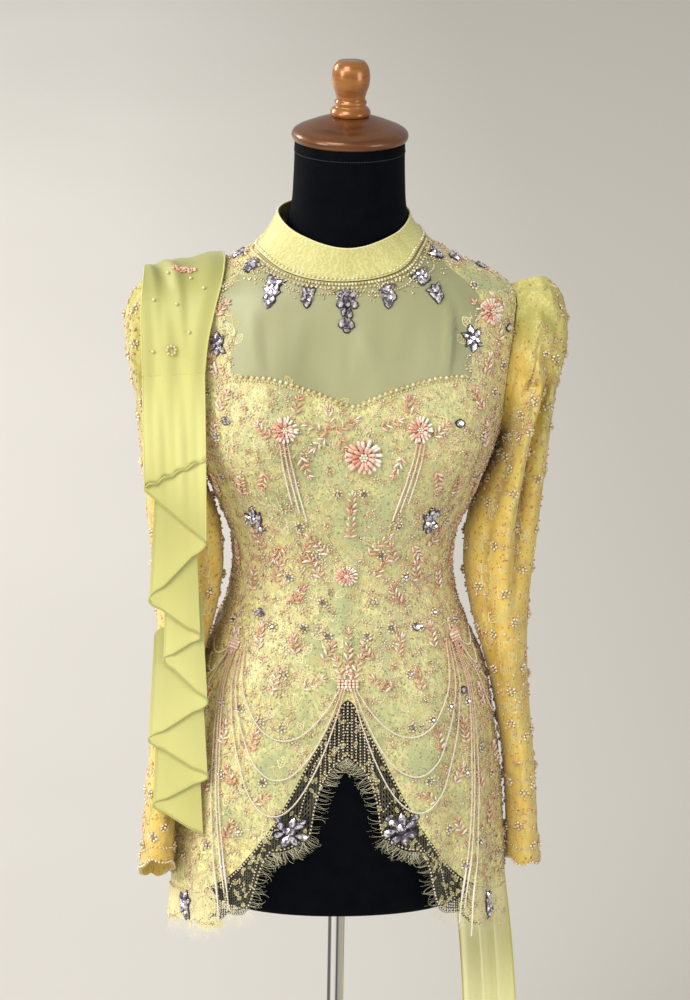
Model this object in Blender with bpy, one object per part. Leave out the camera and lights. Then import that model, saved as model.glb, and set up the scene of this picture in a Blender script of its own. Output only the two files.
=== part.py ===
"""Beaded lace kebaya blouse with a chiffon shawl, worn by a limbless dress form on its stand.

Metres, +Z up. The origin is the centre of the stand's underside, on the pole's axis. The front
of the blouse faces -Y. "left" and "right" are the wearer's, so a left piece is at +X.
The torso is a stack of horizontal sections. A place on it is (height, angle): angle 0 is the
centre front, +90 the left side seam and +-180 the centre back. Every panel of the blouse is a
wall between two lines of heights and two lines of angles on that torso, moved out by its ease.
"""

import math

import bmesh
import bpy
from mathutils import Vector

# ---------------------------------------------------------------- driving sizes
WALL = 0.0014  # satin with its lace
SHEER_WALL = 0.0010  # chiffon and unlined lace
SEAM = 0.0003  # free space between two pieces at a seam
PANEL_CLEAR = 0.0004  # between a panel and what is sewn on it

FORM_BOTTOM = 0.612
NECK_TOP = 1.4297
ARMPIT = 1.125
SHOULDER_TIP = 1.277
NECK_SIDE = 1.3225  # nominal height of the neckline, at the shoulder seams
NECK_FRONT_DROP = 0.0235
NECK_BACK_RISE = 0.004
NECK_SKEW = 0.007  # the neckline is worn this much higher on the left
TILT_FROM = 1.20  # above this height the rows tilt until they reach the neckline
BUST_HEIGHT, BUST_ANGLE, BUST_OUT = 1.128, 38.0, 0.017
BUST_SPREAD, BUST_RISE, BUST_FALL = 20.0, 0.052, 0.036
HOLLOW_CLEAR = 0.0008  # more of it in the hollow over the hips
ARMHOLE_HALF_ANGLE = 20.0
ARMHOLE_ROWS = 6
WAIST = 0.985
HIP_ROW = 0.89


class Table:
    """Rows of numbers under named columns, read between rows along a smooth curve."""

    def __init__(self, columns, rows):
        self.columns = columns
        self.rows = sorted(rows)

    def at(self, column, key):
        """The column's value where the first column is key."""
        k = self.columns.index(column)
        rows = self.rows
        if key <= rows[0][0]:
            return rows[0][k]
        if key >= rows[-1][0]:
            return rows[-1][k]
        i = next(n for n in range(len(rows) - 1) if key <= rows[n + 1][0])
        x0, x1 = rows[i][0], rows[i + 1][0]
        t = (key - x0) / (x1 - x0)
        m0, m1 = (self.slope(n, k) * (x1 - x0) for n in (i, i + 1))
        y0, y1 = rows[i][k], rows[i + 1][k]
        return (
            y0 * (1 + 2 * t) * (1 - t) ** 2
            + m0 * t * (1 - t) ** 2
            + y1 * t * t * (3 - 2 * t)
            - m1 * t * t * (1 - t)
        )

    def slope(self, n, k):
        """A slope at row n that never overshoots its neighbours."""
        if n in (0, len(self.rows) - 1):
            return 0.0
        a, b, c = self.rows[n - 1], self.rows[n], self.rows[n + 1]
        before = (b[k] - a[k]) / (b[0] - a[0])
        after = (c[k] - b[k]) / (c[0] - b[0])
        if before * after <= 0:
            return 0.0
        return 2 * before * after / (before + after)


FORM = Table(
    ("height", "half_width", "front", "back", "square"),
    (
        (1.430, 0.0565, 0.0565, 0.0565, 0.00),
        (1.375, 0.0580, 0.0570, 0.0590, 0.00),
        (1.345, 0.0628, 0.0580, 0.0640, 0.02),
        (1.325, 0.0765, 0.0610, 0.0710, 0.04),
        (1.305, 0.1105, 0.0660, 0.0800, 0.06),
        (1.290, 0.1420, 0.0720, 0.0870, 0.08),
        (1.277, 0.1640, 0.0770, 0.0920, 0.08),
        (1.262, 0.1715, 0.0820, 0.0970, 0.08),
        (1.240, 0.1720, 0.0885, 0.1020, 0.08),
        (1.200, 0.1680, 0.0985, 0.1070, 0.08),
        (1.150, 0.1600, 0.1070, 0.1070, 0.08),
        (1.100, 0.1460, 0.1040, 0.1010, 0.08),
        (1.050, 0.1270, 0.0915, 0.0910, 0.06),
        (1.010, 0.1110, 0.0825, 0.0795, 0.05),
        (0.980, 0.1085, 0.0805, 0.0770, 0.05),
        (0.950, 0.1115, 0.0835, 0.0820, 0.05),
        (0.910, 0.1250, 0.0945, 0.0960, 0.06),
        (0.860, 0.1445, 0.1055, 0.1110, 0.08),
        (0.800, 0.1525, 0.1105, 0.1220, 0.08),
        (0.740, 0.1565, 0.1105, 0.1250, 0.08),
        (0.680, 0.1555, 0.1070, 0.1210, 0.08),
        (0.612, 0.1500, 0.1010, 0.1130, 0.08),
    ),
)
EASE = Table(
    ("height", "ease", "flute"),
    (
        (1.3225, 0.0040, 0.0),
        (1.200, 0.0050, 0.0),
        (1.100, 0.0045, 0.0),
        (0.980, 0.0050, 0.0),
        (0.900, 0.0060, 0.0),
        (0.800, 0.0095, 0.0012),
        (0.720, 0.0145, 0.0026),
        (0.660, 0.0195, 0.0040),
        (0.580, 0.0270, 0.0056),
    ),
)
FLUTES = 13  # soft waves round the hem
# The princess seam, and above TILT_FROM the side of the plain yoke.
FRONT_SEAM = Table(
    ("height", "angle"),
    (
        (0.60, 35.0),
        (0.70, 32.0),
        (0.80, 30.0),
        (0.90, 28.0),
        (0.98, 27.0),
        (1.05, 31.0),
        (1.125, 38.0),
        (1.20, 43.0),
        (1.24, 42.0),
        (1.275, 48.0),
        (1.30, 58.0),
        (1.3225, 74.0),
    ),
)
# The lower edge of the lined panels: an inverted V at the front, then the hem.
LINING_EDGE = Table(
    ("angle", "height"),
    (
        (0.0, 0.862),
        (2.5, 0.856),
        (8.0, 0.825),
        (13.0, 0.797),
        (21.0, 0.748),
        (28.0, 0.712),
        (39.0, 0.671),
        (51.0, 0.645),
        (70.0, 0.626),
        (90.0, 0.619),
        (180.0, 0.615),
    ),
)
# The lower edge of the unlined lace border, before its scallops.
SWEETHEART = Table(
    ("angle", "height"),
    (
        (0.0, 1.1780),
        (3.0, 1.1800),
        (6.0, 1.1845),
        (10.0, 1.1895),
        (16.0, 1.1955),
        (23.0, 1.2010),
        (30.0, 1.2040),
        (36.0, 1.2035),
        (44.0, 1.2010),
    ),
)
LACE_EDGE = Table(
    ("angle", "height"),
    (
        (0.0, 0.797),
        (4.0, 0.792),
        (8.0, 0.775),
        (10.5, 0.748),
        (12.5, 0.710),
        (16.0, 0.700),
        (25.0, 0.696),
        (28.0, 0.680),
        (31.0, 0.652),
        (34.0, 0.630),
        (40.0, 0.618),
        (54.0, 0.600),
        (70.0, 0.590),
        (90.0, 0.584),
        (180.0, 0.584),
    ),
)
LACE_SCALLOP = 0.008
LACE_SCALLOP_ANGLE = 15.0


# ---------------------------------------------------------------- small helpers
def lerp(a, b, t):
    return a + (b - a) * t


def smooth(t):
    t = min(1.0, max(0.0, t))
    return t * t * (3 - 2 * t)


def bell(x, width):
    return math.exp(-((x / width) ** 2))


def clear_scene():
    for obj in list(bpy.data.objects):
        bpy.data.objects.remove(obj, do_unlink=True)


def new_collection(name):
    collection = bpy.data.collections.new(name)
    bpy.context.scene.collection.children.link(collection)
    return collection


def new_material(name, color, roughness, metallic=0.0):
    material = bpy.data.materials.new(name)
    material.use_nodes = True
    shader = material.node_tree.nodes["Principled BSDF"]
    shader.inputs["Base Color"].default_value = (*color, 1.0)
    shader.inputs["Roughness"].default_value = roughness
    shader.inputs["Metallic"].default_value = metallic
    return material


def add_object(name, mesh, material, collection, smooth_faces=True):
    obj = bpy.data.objects.new(name, mesh)
    collection.objects.link(obj)
    mesh.materials.append(material)
    if smooth_faces:
        mesh.shade_smooth()
        mesh.set_sharp_from_angle(angle=math.radians(50))
    return obj


# ---------------------------------------------------------------- the torso and the cloth over it
def neck_tilt(angle):
    """How far the neckline is above or below its height at the shoulder seam."""
    c = math.cos(math.radians(angle))
    return -NECK_FRONT_DROP * c**3 if c > 0 else -NECK_BACK_RISE * c


def true_height(height, angle):
    share = smooth((height - TILT_FROM) / (NECK_SIDE - TILT_FROM))
    skew = smooth((height - SHOULDER_TIP) / (NECK_SIDE - SHOULDER_TIP))
    skew *= NECK_SKEW * math.sin(math.radians(angle))
    return height + share * neck_tilt(angle) + skew


def torso(z, angle, ease=0.0):
    """A point of the torso's section at height z, moved out level by ease."""
    half_width, front, back, square = (
        FORM.at(column, z) for column in FORM.columns[1:]
    )
    s, c = math.sin(math.radians(angle)), math.cos(math.radians(angle))
    depth = front if c > 0 else back
    turned = (angle + 180) % 360 - 180
    fall = BUST_RISE if z > BUST_HEIGHT else BUST_FALL
    bust = BUST_OUT * bell(abs(turned) - BUST_ANGLE, BUST_SPREAD)
    bust *= bell(z - BUST_HEIGHT, fall)
    out = Vector((s * depth, -c * half_width, 0)).normalized()
    place = Vector(
        (half_width * s * (1 + square * c * c), -depth * c * (1 + square * s * s), z)
    )
    return place + out * (bust + ease)


def cloth(height, angle):
    """A point of the inner face of the blouse."""
    flute = EASE.at("flute", height) * math.cos(math.radians(FLUTES * angle + 20))
    return torso(
        true_height(height, angle), angle, EASE.at("ease", height) + flute
    )


def cloth_normal(height, angle):
    up = cloth(height + 0.001, angle) - cloth(height - 0.001, angle)
    across = cloth(height, angle + 0.5) - cloth(height, angle - 0.5)
    return across.cross(up).normalized()


def on_cloth(height, angle, out=0.0):
    """(point, normal) of the blouse's inner face, moved out."""
    normal = cloth_normal(height, angle)
    return cloth(height, angle) + normal * out, normal


def seam_angle(height):
    """The angle that half a seam's free space takes at a height."""
    return math.degrees(SEAM / 2 / FORM.at("half_width", height))


# ---------------------------------------------------------------- walls of cloth
def wall(name, face, columns, rows, thickness, material, collection, closed=False, holes=()):
    """A wall of cloth. face(u, v) gives a point of its inner face and the normal there, with u
    and v from 0 to 1. Its outer face is thickness out, a length or a function of u and v. closed
    joins u = 1 to u = 0. holes are the (column, row) cells that are left open."""
    across = columns if closed else columns + 1
    inner, outer = [], []
    for j in range(rows + 1):
        for i in range(across):
            u, v = i / columns, j / rows
            point, normal = face(u, v)
            depth = thickness(u, v) if callable(thickness) else thickness
            inner.append(point)
            outer.append(point + normal * depth)
    mesh = bpy.data.meshes.new(name)
    shape = bmesh.new()
    low = [shape.verts.new(p) for p in inner]
    top = [shape.verts.new(p) for p in outer]
    open_cells = set(holes)

    def solid(i, j):
        if closed:
            i %= columns
        inside = 0 <= i < columns and 0 <= j < rows
        return inside and (i, j) not in open_cells

    def at(i, j):
        return (i % across if closed else i) + j * across

    for j in range(rows):
        for i in range(columns):
            if not solid(i, j):
                continue
            a, b, c, d = at(i, j), at(i + 1, j), at(i + 1, j + 1), at(i, j + 1)
            for corners in ((a, b, c), (a, c, d)):
                shape.faces.new([top[k] for k in corners])
                shape.faces.new([low[k] for k in corners[::-1]])
            for (p, q), near in (
                ((a, b), (i, j - 1)),
                ((b, c), (i + 1, j)),
                ((c, d), (i, j + 1)),
                ((d, a), (i - 1, j)),
            ):
                if not solid(*near):
                    shape.faces.new((low[p], low[q], top[q], top[p]))
    loose = [v for v in shape.verts if not v.link_faces]
    bmesh.ops.delete(shape, geom=loose, context="VERTS")
    shape.to_mesh(mesh)
    shape.free()
    return add_object(name, mesh, material, collection)


def between(low, high, count):
    """The rows above low and up to high. A row is a height or a function of the angle."""

    def row(share):
        def height(angle):
            ends = [end(angle) if callable(end) else end for end in (low, high)]
            return lerp(*ends, share)

        return height

    return [row((k + 1) / count) for k in range(count)]


def panel_place(u, row, left, right, near_rows, far_rows):
    """The (height, angle) of a panel's point. left and right give its side lines as angles for
    a height. Its rows run from near_rows on the left side to far_rows on the right side."""
    height, angle = 1.0, lerp(left(1.0), right(1.0), u)
    for _ in range(12):
        height = lerp(near_rows[row](angle), far_rows[row](angle), u)
        angle = lerp(left(height), right(height), u)
    return height, angle


def panel(name, left, right, near_rows, far_rows, columns, material, collection):
    """A panel of the blouse, as a wall on the torso."""
    last = len(near_rows) - 1

    def face(u, v):
        return on_cloth(*panel_place(u, round(v * last), left, right, near_rows, far_rows))

    return wall(name, face, columns, last, WALL, material, collection)


# ---------------------------------------------------------------- lines on the blouse
def armhole_half(height):
    """Half the armhole's width at a height, as an angle from the side seam."""
    middle, half = (ARMPIT + SHOULDER_TIP) / 2, (SHOULDER_TIP - ARMPIT) / 2
    t = (height - middle) / half
    return ARMHOLE_HALF_ANGLE * math.sqrt(max(0.0, 1 - t * t))


def front_line(height):
    return FRONT_SEAM.at("angle", height)


def front_side_line(height):
    """The front's side edge: the side seam, the armhole, then the shoulder seam."""
    return 90.0 - armhole_half(height) - seam_angle(height)


def back_side_line(height):
    return 90.0 + armhole_half(height) + seam_angle(height)


def sweetheart(angle):
    return SWEETHEART.at("height", abs(angle))


def lining_edge(angle):
    return LINING_EDGE.at("height", abs(angle)) + SEAM / 2


def lace_edge(angle):
    """The lace border's lower edge, with its scallops."""
    wave = abs(math.sin(math.radians(180 * abs(angle) / LACE_SCALLOP_ANGLE)))
    return LACE_EDGE.at("height", abs(angle)) - LACE_SCALLOP * (wave - 0.5)


# ---------------------------------------------------------------- the blouse
COLUMNS = {"front": 7, "side": 7, "back": 9}  # of cells across half the front, and the rest


def lining_corners():
    """The (angle, height) of the panels' lower corners on the left side, from the front."""
    spans = (
        ("front", lambda h: 0.0, lambda h: front_line(h) - seam_angle(h)),
        ("side", lambda h: front_line(h) + seam_angle(h), front_side_line),
        ("back", back_side_line, lambda h: 180 - seam_angle(h)),
    )
    corners = []
    for name, left, right in spans:
        for k in range(COLUMNS[name] + 1):
            place = panel_place(k / COLUMNS[name], 0, left, right, [lining_edge], [lining_edge])
            corners.append(place[::-1])
    return corners


def panel_rows():
    """The rows at the two princess seams, shared by the front's panels, and those at the side
    and back seams. All start at the lining's edge and have the same number of rows."""
    start = [lining_edge]
    body = start + between(lining_edge, HIP_ROW, 5) + between(HIP_ROW, WAIST, 3)
    body += between(WAIST, ARMPIT, 5)
    front = between(ARMPIT, sweetheart, 2)
    yoke = between(sweetheart, NECK_SIDE, 7)
    side = []
    for k in range(1, ARMHOLE_ROWS + 1):
        share = (1 - math.cos(math.pi * k / ARMHOLE_ROWS)) / 2
        side.append(lambda angle, share=share: lerp(ARMPIT, SHOULDER_TIP, share))
    shoulder = between(SHOULDER_TIP, NECK_SIDE, 3)
    return body + front, yoke, body + side + shoulder


def make_panels(materials, collection):
    lace, plain = materials["lace_on_satin"], materials["satin"]
    front, yoke, side = panel_rows()
    low = front[:-1] + [lambda a: sweetheart(a) - SEAM / 2]
    high = [lambda a: sweetheart(a) + SEAM / 2] + yoke

    def left(h):
        return -front_line(h) + seam_angle(h)

    def right(h):
        return front_line(h) - seam_angle(h)

    panel("front_centre", left, right, low, low, 2 * COLUMNS["front"], lace, collection)
    panel("yoke", left, right, high, high, 2 * COLUMNS["front"], plain, collection)
    for name, sign in (("left", 1), ("right", -1)):

        def seam(h, sign=sign):
            return sign * (front_line(h) + seam_angle(h))

        def front_side(h, sign=sign):
            return sign * front_side_line(h)

        def back_side(h, sign=sign):
            return sign * back_side_line(h)

        def centre_back(h, sign=sign):
            return sign * (180 - seam_angle(h))

        front_edges, back_edges = (seam, front_side), (back_side, centre_back)
        front_rows = (front + yoke, side)
        if sign < 0:
            front_edges, back_edges = front_edges[::-1], back_edges[::-1]
            front_rows = front_rows[::-1]
        panel("front_side_" + name, *front_edges, *front_rows, COLUMNS["side"], lace, collection)
        panel("back_" + name, *back_edges, side, side, COLUMNS["back"], lace, collection)


COLLAR = Table(
    ("angle", "half_width", "depth", "height"),
    (
        (0.0, 0.0672, 0.0665, 1.3325),
        (45.0, 0.0672, 0.0665, 1.3420),
        (90.0, 0.0672, 0.0665, 1.3540),
        (135.0, 0.0672, 0.0665, 1.3560),
        (180.0, 0.0672, 0.0670, 1.3560),
    ),
)
COLLAR_WALL = 0.0018
COLLAR_LIFT = 0.0006
COLLAR_SHIFT = -0.0050  # it sits a little towards the right shoulder


def collar_place(u, v):
    """A point of the collar's inner face. u runs round it from the centre back, v up it."""
    angle = lerp(-180 + 0.15, 180 - 0.15, u)
    foot = on_cloth(NECK_SIDE, angle, WALL)[0] + Vector((0, 0, COLLAR_LIFT))
    s, c = math.sin(math.radians(angle)), math.cos(math.radians(angle))
    half_width, depth, height = (
        COLLAR.at(column, abs(angle)) for column in COLLAR.columns[1:]
    )
    rim = Vector((half_width * s + COLLAR_SHIFT, -depth * c, height))
    bow = 0.0022 * math.sin(math.pi * v)
    return foot.lerp(rim, v) - Vector((s, -c, 0)) * bow


def make_collar(materials, collection):
    """A stand collar that rises from the neckline and leans in. It opens at the centre back."""

    def face(u, v):
        across = collar_place(min(1, u + 0.01), v) - collar_place(max(0, u - 0.01), v)
        up = collar_place(u, min(1, v + 0.05)) - collar_place(u, max(0, v - 0.05))
        return collar_place(u, v), across.cross(up).normalized()

    wall("collar", face, 28, 3, COLLAR_WALL, materials["lace_on_satin"], collection)


# ---------------------------------------------------------------- sleeves
# Each row is one section of the left sleeve. inner and outer are its ends in the front view,
# pivot heights its ends' heights, depth its half size front to back, shift its middle's y.
SLEEVE = Table(
    ("row", "inner_x", "inner_z", "outer_x", "outer_z", "depth", "shift"),
    (
        (0.0, 0.1652, 1.1235, 0.1800, 1.2790, 0.0370, 0.000),
        (1.0, 0.1652, 1.1215, 0.1900, 1.2835, 0.0480, 0.000),
        (2.0, 0.1648, 1.1190, 0.2020, 1.2830, 0.0560, 0.000),
        (3.0, 0.1643, 1.1160, 0.2140, 1.2740, 0.0590, 0.000),
        (4.0, 0.1632, 1.1120, 0.2240, 1.2580, 0.0600, 0.000),
        (5.0, 0.1612, 1.1060, 0.2290, 1.2350, 0.0600, 0.000),
        (6.0, 0.1583, 1.0980, 0.2275, 1.2080, 0.0585, 0.000),
        (7.0, 0.1530, 1.0870, 0.2210, 1.1750, 0.0560, 0.000),
        (8.0, 0.1475, 1.0730, 0.2165, 1.1380, 0.0540, -0.001),
        (9.0, 0.1390, 1.0500, 0.2130, 1.0960, 0.0520, -0.002),
        (10.0, 0.1300, 1.0200, 0.2085, 1.0480, 0.0500, -0.003),
        (11.0, 0.1280, 0.9850, 0.2045, 1.0000, 0.0475, -0.004),
        (12.0, 0.1340, 0.9420, 0.2000, 0.9500, 0.0450, -0.005),
        (13.0, 0.1460, 0.8980, 0.1985, 0.9000, 0.0420, -0.006),
        (14.0, 0.1600, 0.8500, 0.2010, 0.8500, 0.0390, -0.007),
        (15.0, 0.1705, 0.8000, 0.2060, 0.8000, 0.0370, -0.008),
        (16.0, 0.1785, 0.7450, 0.2120, 0.7450, 0.0350, -0.009),
        (17.0, 0.1825, 0.6950, 0.2160, 0.6950, 0.0340, -0.010),
        (18.0, 0.1845, 0.6480, 0.2195, 0.6450, 0.0350, -0.010),
    ),
)
SLEEVE_ROWS = 18
# The deep folds of the empty sleeve. turn is where a fold lies round the sleeve: 0 is the
# outer end of the front view, 90 the front, 180 the inner end.
SLEEVE_FOLDS = (
    {"turn": 62, "depth": 0.024, "width": 15, "from_row": 2.2, "to_row": 12.5},
    {"turn": 118, "depth": 0.006, "width": 16, "from_row": 4.0, "to_row": 15.0},
    {"turn": 262, "depth": 0.016, "width": 17, "from_row": 2.5, "to_row": 13.0},
    {"turn": 322, "depth": 0.006, "width": 15, "from_row": 5.0, "to_row": 16.0},
)
GATHERS = 13  # at the sleeve head
GATHER_DEPTH = 0.0034
CUFF_SLANT = {"left": 0.002, "right": 0.022}  # how much higher the cuff's front edge is
CUFF_SCALLOP, CUFF_SCALLOPS = 0.005, 5
HAND_SHIFT = {"left": (-0.003, 0.0, 0.0), "right": (-0.006, -0.030, 0.0)}  # outward, y, up


def armhole(turn):
    """The armhole's line on the left side, by the same turn as the sleeve's sections. It runs
    straight between the rows of the panels, ARMHOLE_ROWS from armpit to shoulder tip."""
    step = 180 / ARMHOLE_ROWS
    before = math.floor(turn / step) * step
    ends = []
    for at in (before, before + step):
        height = lerp(ARMPIT, SHOULDER_TIP, (1 + math.cos(math.radians(at))) / 2)
        lean = math.sin(math.radians(at)) * ARMHOLE_HALF_ANGLE
        ends.append(on_cloth(height, 90 - lean, WALL + 0.0004)[0])
    return ends[0].lerp(ends[1], (turn - before) / step)


def sleeve_place(turn, row, side):
    """A point of the left sleeve's outer face. turn is in degrees, row along the sleeve."""
    ix, iz, ox, oz, depth, shift = (
        SLEEVE.at(column, row) for column in SLEEVE.columns[1:]
    )
    c, s = math.cos(math.radians(turn)), math.sin(math.radians(turn))
    pull = 0.0
    for fold in SLEEVE_FOLDS:
        along = (row - fold["from_row"]) / (fold["to_row"] - fold["from_row"])
        if 0 < along < 1:
            away = (turn - fold["turn"] + 180) % 360 - 180
            pull += fold["depth"] * math.sin(math.pi * along) * bell(away, fold["width"])
    head = smooth(row / 1.5) * (1 - smooth((row - 3.5) / 3.5)) * smooth((c + 0.75) / 0.8)
    pull -= GATHER_DEPTH * head * math.cos(math.radians(GATHERS * turn))
    middle = Vector(((ix + ox) / 2, shift, (iz + oz) / 2))
    reach = Vector(((ox - ix) / 2, 0, (oz - iz) / 2))
    round_out = reach * c + Vector((0, -depth * s, 0))
    scale = max(0.1, 1 - pull / round_out.length)
    place = middle + round_out * scale
    share = smooth((row - 15.5) / 2.5)
    place.z += share * CUFF_SLANT[side] * s
    lobe = abs(math.sin(math.radians(turn * CUFF_SCALLOPS / 2)))
    place.z -= smooth(row - 17) * CUFF_SCALLOP * (lobe - 0.5)
    along = smooth((row - 7) / (SLEEVE_ROWS - 7))
    place += along * Vector(HAND_SHIFT[side])
    start = armhole(turn) + Vector((0.0010, 0, 0))
    return start.lerp(place, smooth(row / 2.2))


def make_sleeves(materials, collection):
    for side, sign in (("left", 1), ("right", -1)):

        def face(u, v, side=side, sign=sign):
            turn, row = 360 * u * -sign, v * SLEEVE_ROWS
            place = sleeve_place(turn, row, side)
            before = sleeve_place(turn, max(0, row - 0.05), side)
            after = sleeve_place(turn, min(SLEEVE_ROWS, row + 0.05), side)
            around = sleeve_place(turn + 2, row, side) - sleeve_place(turn - 2, row, side)
            normal = (after - before).cross(around).normalized()
            flip = Vector((sign, 1, 1))
            return place * flip, normal * flip

        gold = materials["lace_on_gold"]
        wall("sleeve_" + side, face, 24, 17, WALL, gold, collection, closed=True)


# ---------------------------------------------------------------- the unlined lace border
def halfway(corners):
    """The corners with one more place between each two that lie apart."""
    places = [corners[0]]
    for a, b in zip(corners, corners[1:]):
        if b[0] - a[0] > 0.5:
            places.append(((a[0] + b[0]) / 2, (a[1] + b[1]) / 2))
            places.append(b)
    return places


def make_lace_border(materials, collection):
    """Lace that hangs below the lining: two fronts and a back, with open cells along the hem."""
    corners = lining_corners()
    middle = COLUMNS["front"] + COLUMNS["side"] + 2
    front = halfway([(0.15, corners[0][1])] + corners[1:middle])
    back = halfway(corners[middle:])
    back += [(360 - angle, height) for angle, height in back[::-1][1:]]
    for name, sign, places in (
        ("lace_front_left", 1, front),
        ("lace_front_right", -1, front),
        ("lace_back", 1, back),
    ):
        columns = len(places) - 1

        def face(u, v, sign=sign, places=places, columns=columns):
            k = round(u * columns)
            angle, top = places[k if sign > 0 else columns - k]
            turned = (angle + 180) % 360 - 180
            height = lerp(lace_edge(turned), top - 2.4 * SEAM, v)
            return on_cloth(height, sign * angle)

        holes = [(i, 1) for i in range(2, columns - 2) if i % 2 == 0]
        gold = materials["lace_on_gold"]
        wall(name, face, columns, 3, SHEER_WALL, gold, collection, holes=holes)


# ---------------------------------------------------------------- the shawl
# Stations along a band of cloth: the places of its edge nearest the neck and of its far edge.
SHOULDER_BAND = Table(
    ("station", "near_x", "near_y", "near_z", "far_x", "far_y", "far_z"),
    (
        (0.0, -0.1500, -0.0800, 1.205, -0.2125, -0.0760, 1.200),
        (1.0, -0.1470, -0.0750, 1.235, -0.2135, -0.0710, 1.228),
        (2.0, -0.1410, -0.0670, 1.264, -0.2140, -0.0600, 1.256),
        (3.0, -0.1340, -0.0540, 1.2895, -0.2130, -0.0450, 1.2775),
        (4.0, -0.1295, -0.0310, 1.3035, -0.2110, -0.0220, 1.2900),
        (5.0, -0.1275, 0.0000, 1.3090, -0.2095, 0.0000, 1.2950),
        (6.0, -0.1275, 0.0340, 1.3060, -0.2080, 0.0260, 1.2910),
        (7.0, -0.1255, 0.0670, 1.2940, -0.2050, 0.0490, 1.2790),
        (8.0, -0.1190, 0.0890, 1.270, -0.1980, 0.0680, 1.257),
        (9.0, -0.1080, 0.1010, 1.236, -0.1870, 0.0820, 1.224),
    ),
)
BAND_PLEATS, BAND_PLEAT_DEPTH = 2.5, 0.0024
# The band across the back: heights and angles on the torso, and how far out it lies.
BACK_BAND = Table(
    ("station", "near_height", "near_angle", "far_height", "far_angle", "near_out", "far_out"),
    (
        (0.0, 1.232, -143.0, 1.205, -113.0, 0.012, 0.024),
        (1.0, 1.165, -156.0, 1.130, -119.0, 0.009, 0.020),
        (2.0, 1.095, -172.0, 1.045, -137.0, 0.0062, 0.012),
        (3.0, 1.020, -191.0, 0.960, -160.0, 0.0062, 0.0062),
        (4.0, 0.945, -212.0, 0.885, -184.0, 0.0062, 0.0062),
        (5.0, 0.870, -232.0, 0.825, -206.0, 0.0062, 0.0062),
        (6.0, 0.800, -245.0, 0.780, -217.0, 0.0070, 0.0070),
    ),
)
TAIL = Table(
    ("station", "near_x", "near_y", "near_z", "far_x", "far_y", "far_z"),
    (
        (0.0, 0.1660, 0.0800, 0.795, 0.1060, 0.1340, 0.775),
        (1.0, 0.1780, 0.0840, 0.700, 0.1180, 0.1400, 0.700),
        (2.0, 0.1920, 0.0870, 0.600, 0.1330, 0.1430, 0.600),
        (3.0, 0.2060, 0.0880, 0.480, 0.1480, 0.1400, 0.480),
        (4.0, 0.2140, 0.0870, 0.360, 0.1550, 0.1360, 0.365),
        (5.0, 0.2180, 0.0850, 0.240, 0.1570, 0.1330, 0.262),
    ),
)
# The waterfall edge: the turns of the folded cloth, from its front layer inwards.
CASCADE = Table(
    ("turn", "x", "edge_z"),
    (
        (0.0, -0.2110, 1.087),
        (1.0, -0.1480, 1.033),
        (2.0, -0.2060, 0.969),
        (3.0, -0.1530, 0.928),
        (4.0, -0.1910, 0.903),
        (5.0, -0.1450, 0.854),
        (6.0, -0.2060, 0.812),
        (7.0, -0.1440, 0.769),
        (8.0, -0.2010, 0.737),
        (9.0, -0.1480, 0.700),
    ),
)
CASCADE_FRONT, CASCADE_GAP, CASCADE_STEP = -0.1060, 0.0007, 0.0027
CASCADE_MIDDLE = -0.178
CASCADE_BEND = 0.25  # share of a layer's width that each fold takes up
CASCADE_DROP = 0.115  # how far each folded layer reaches up behind the one in front


def surface(place, u, v, du=0.01, dv=0.01):
    """(point, normal) of a surface given as place(u, v)."""
    across = place(min(1, u + du), v) - place(max(0, u - du), v)
    up = place(u, min(1, v + dv)) - place(u, max(0, v - dv))
    return place(u, v), across.cross(up).normalized()


def band_place(table, u, v, pleats, depth, phase=0.0):
    """A point of a pleated band of cloth between two lines of stations."""
    key = v * table.rows[-1][0]
    near, far = (
        Vector([table.at(end + axis, key) for axis in ("x", "y", "z")])
        for end in ("near_", "far_")
    )
    ahead = min(key + 0.05, table.rows[-1][0])
    behind = ahead - 0.1
    run = Vector([table.at("near_" + a, ahead) - table.at("near_" + a, behind) for a in "xyz"])
    out = (far - near).cross(run).normalized()
    return near.lerp(far, u) + out * depth * math.cos(2 * math.pi * pleats * u + phase)


def shoulder_place(u, v):
    return band_place(SHOULDER_BAND, u, v, BAND_PLEATS, BAND_PLEAT_DEPTH)


def back_place(u, v):
    key = v * BACK_BAND.rows[-1][0]
    near_height, near_angle, far_height, far_angle, near_out, far_out = (
        BACK_BAND.at(column, key) for column in BACK_BAND.columns[1:]
    )
    out = lerp(near_out, far_out, u)
    pleat = BAND_PLEAT_DEPTH * math.cos(2 * math.pi * BAND_PLEATS * u)
    place, _ = on_cloth(
        lerp(near_height, far_height, u), lerp(near_angle, far_angle, u), out + pleat
    )
    start = shoulder_place(u, 1.0) + Vector((0, 0, -4 * SEAM))
    return start.lerp(place, min(1.0, v / 0.16))


def tail_place(u, v):
    start = back_place(u, 1.0) + Vector((SEAM, 0, -SEAM))
    return start.lerp(band_place(TAIL, u, v, 3.5, 0.0048, 0.6), min(1.0, v / 0.16))


def front_y(z):
    """How far forward the front layer hangs at a height."""
    return lerp(CASCADE_FRONT, SHOULDER_BAND.rows[0][2], smooth((z - 1.03) / 0.175))


def front_fall_place(u, v):
    """The front layer: from the shoulder down to the first run of the waterfall edge."""
    x, low = (lerp(CASCADE.rows[0][k], CASCADE.rows[1][k], u) for k in (1, 2))
    top = shoulder_place(1 - u, 0.0) - Vector((0, 0, SEAM))
    z = lerp(low, top.z, v)
    wave = 0.0022 * math.sin(math.pi * v) * math.cos(5 * math.pi * u)
    far = top.y - SHOULDER_BAND.rows[0][2]
    return Vector((lerp(x, top.x, v), front_y(z) + far * v - 0.0025 * math.sin(math.pi * v) + wave, z))


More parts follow.
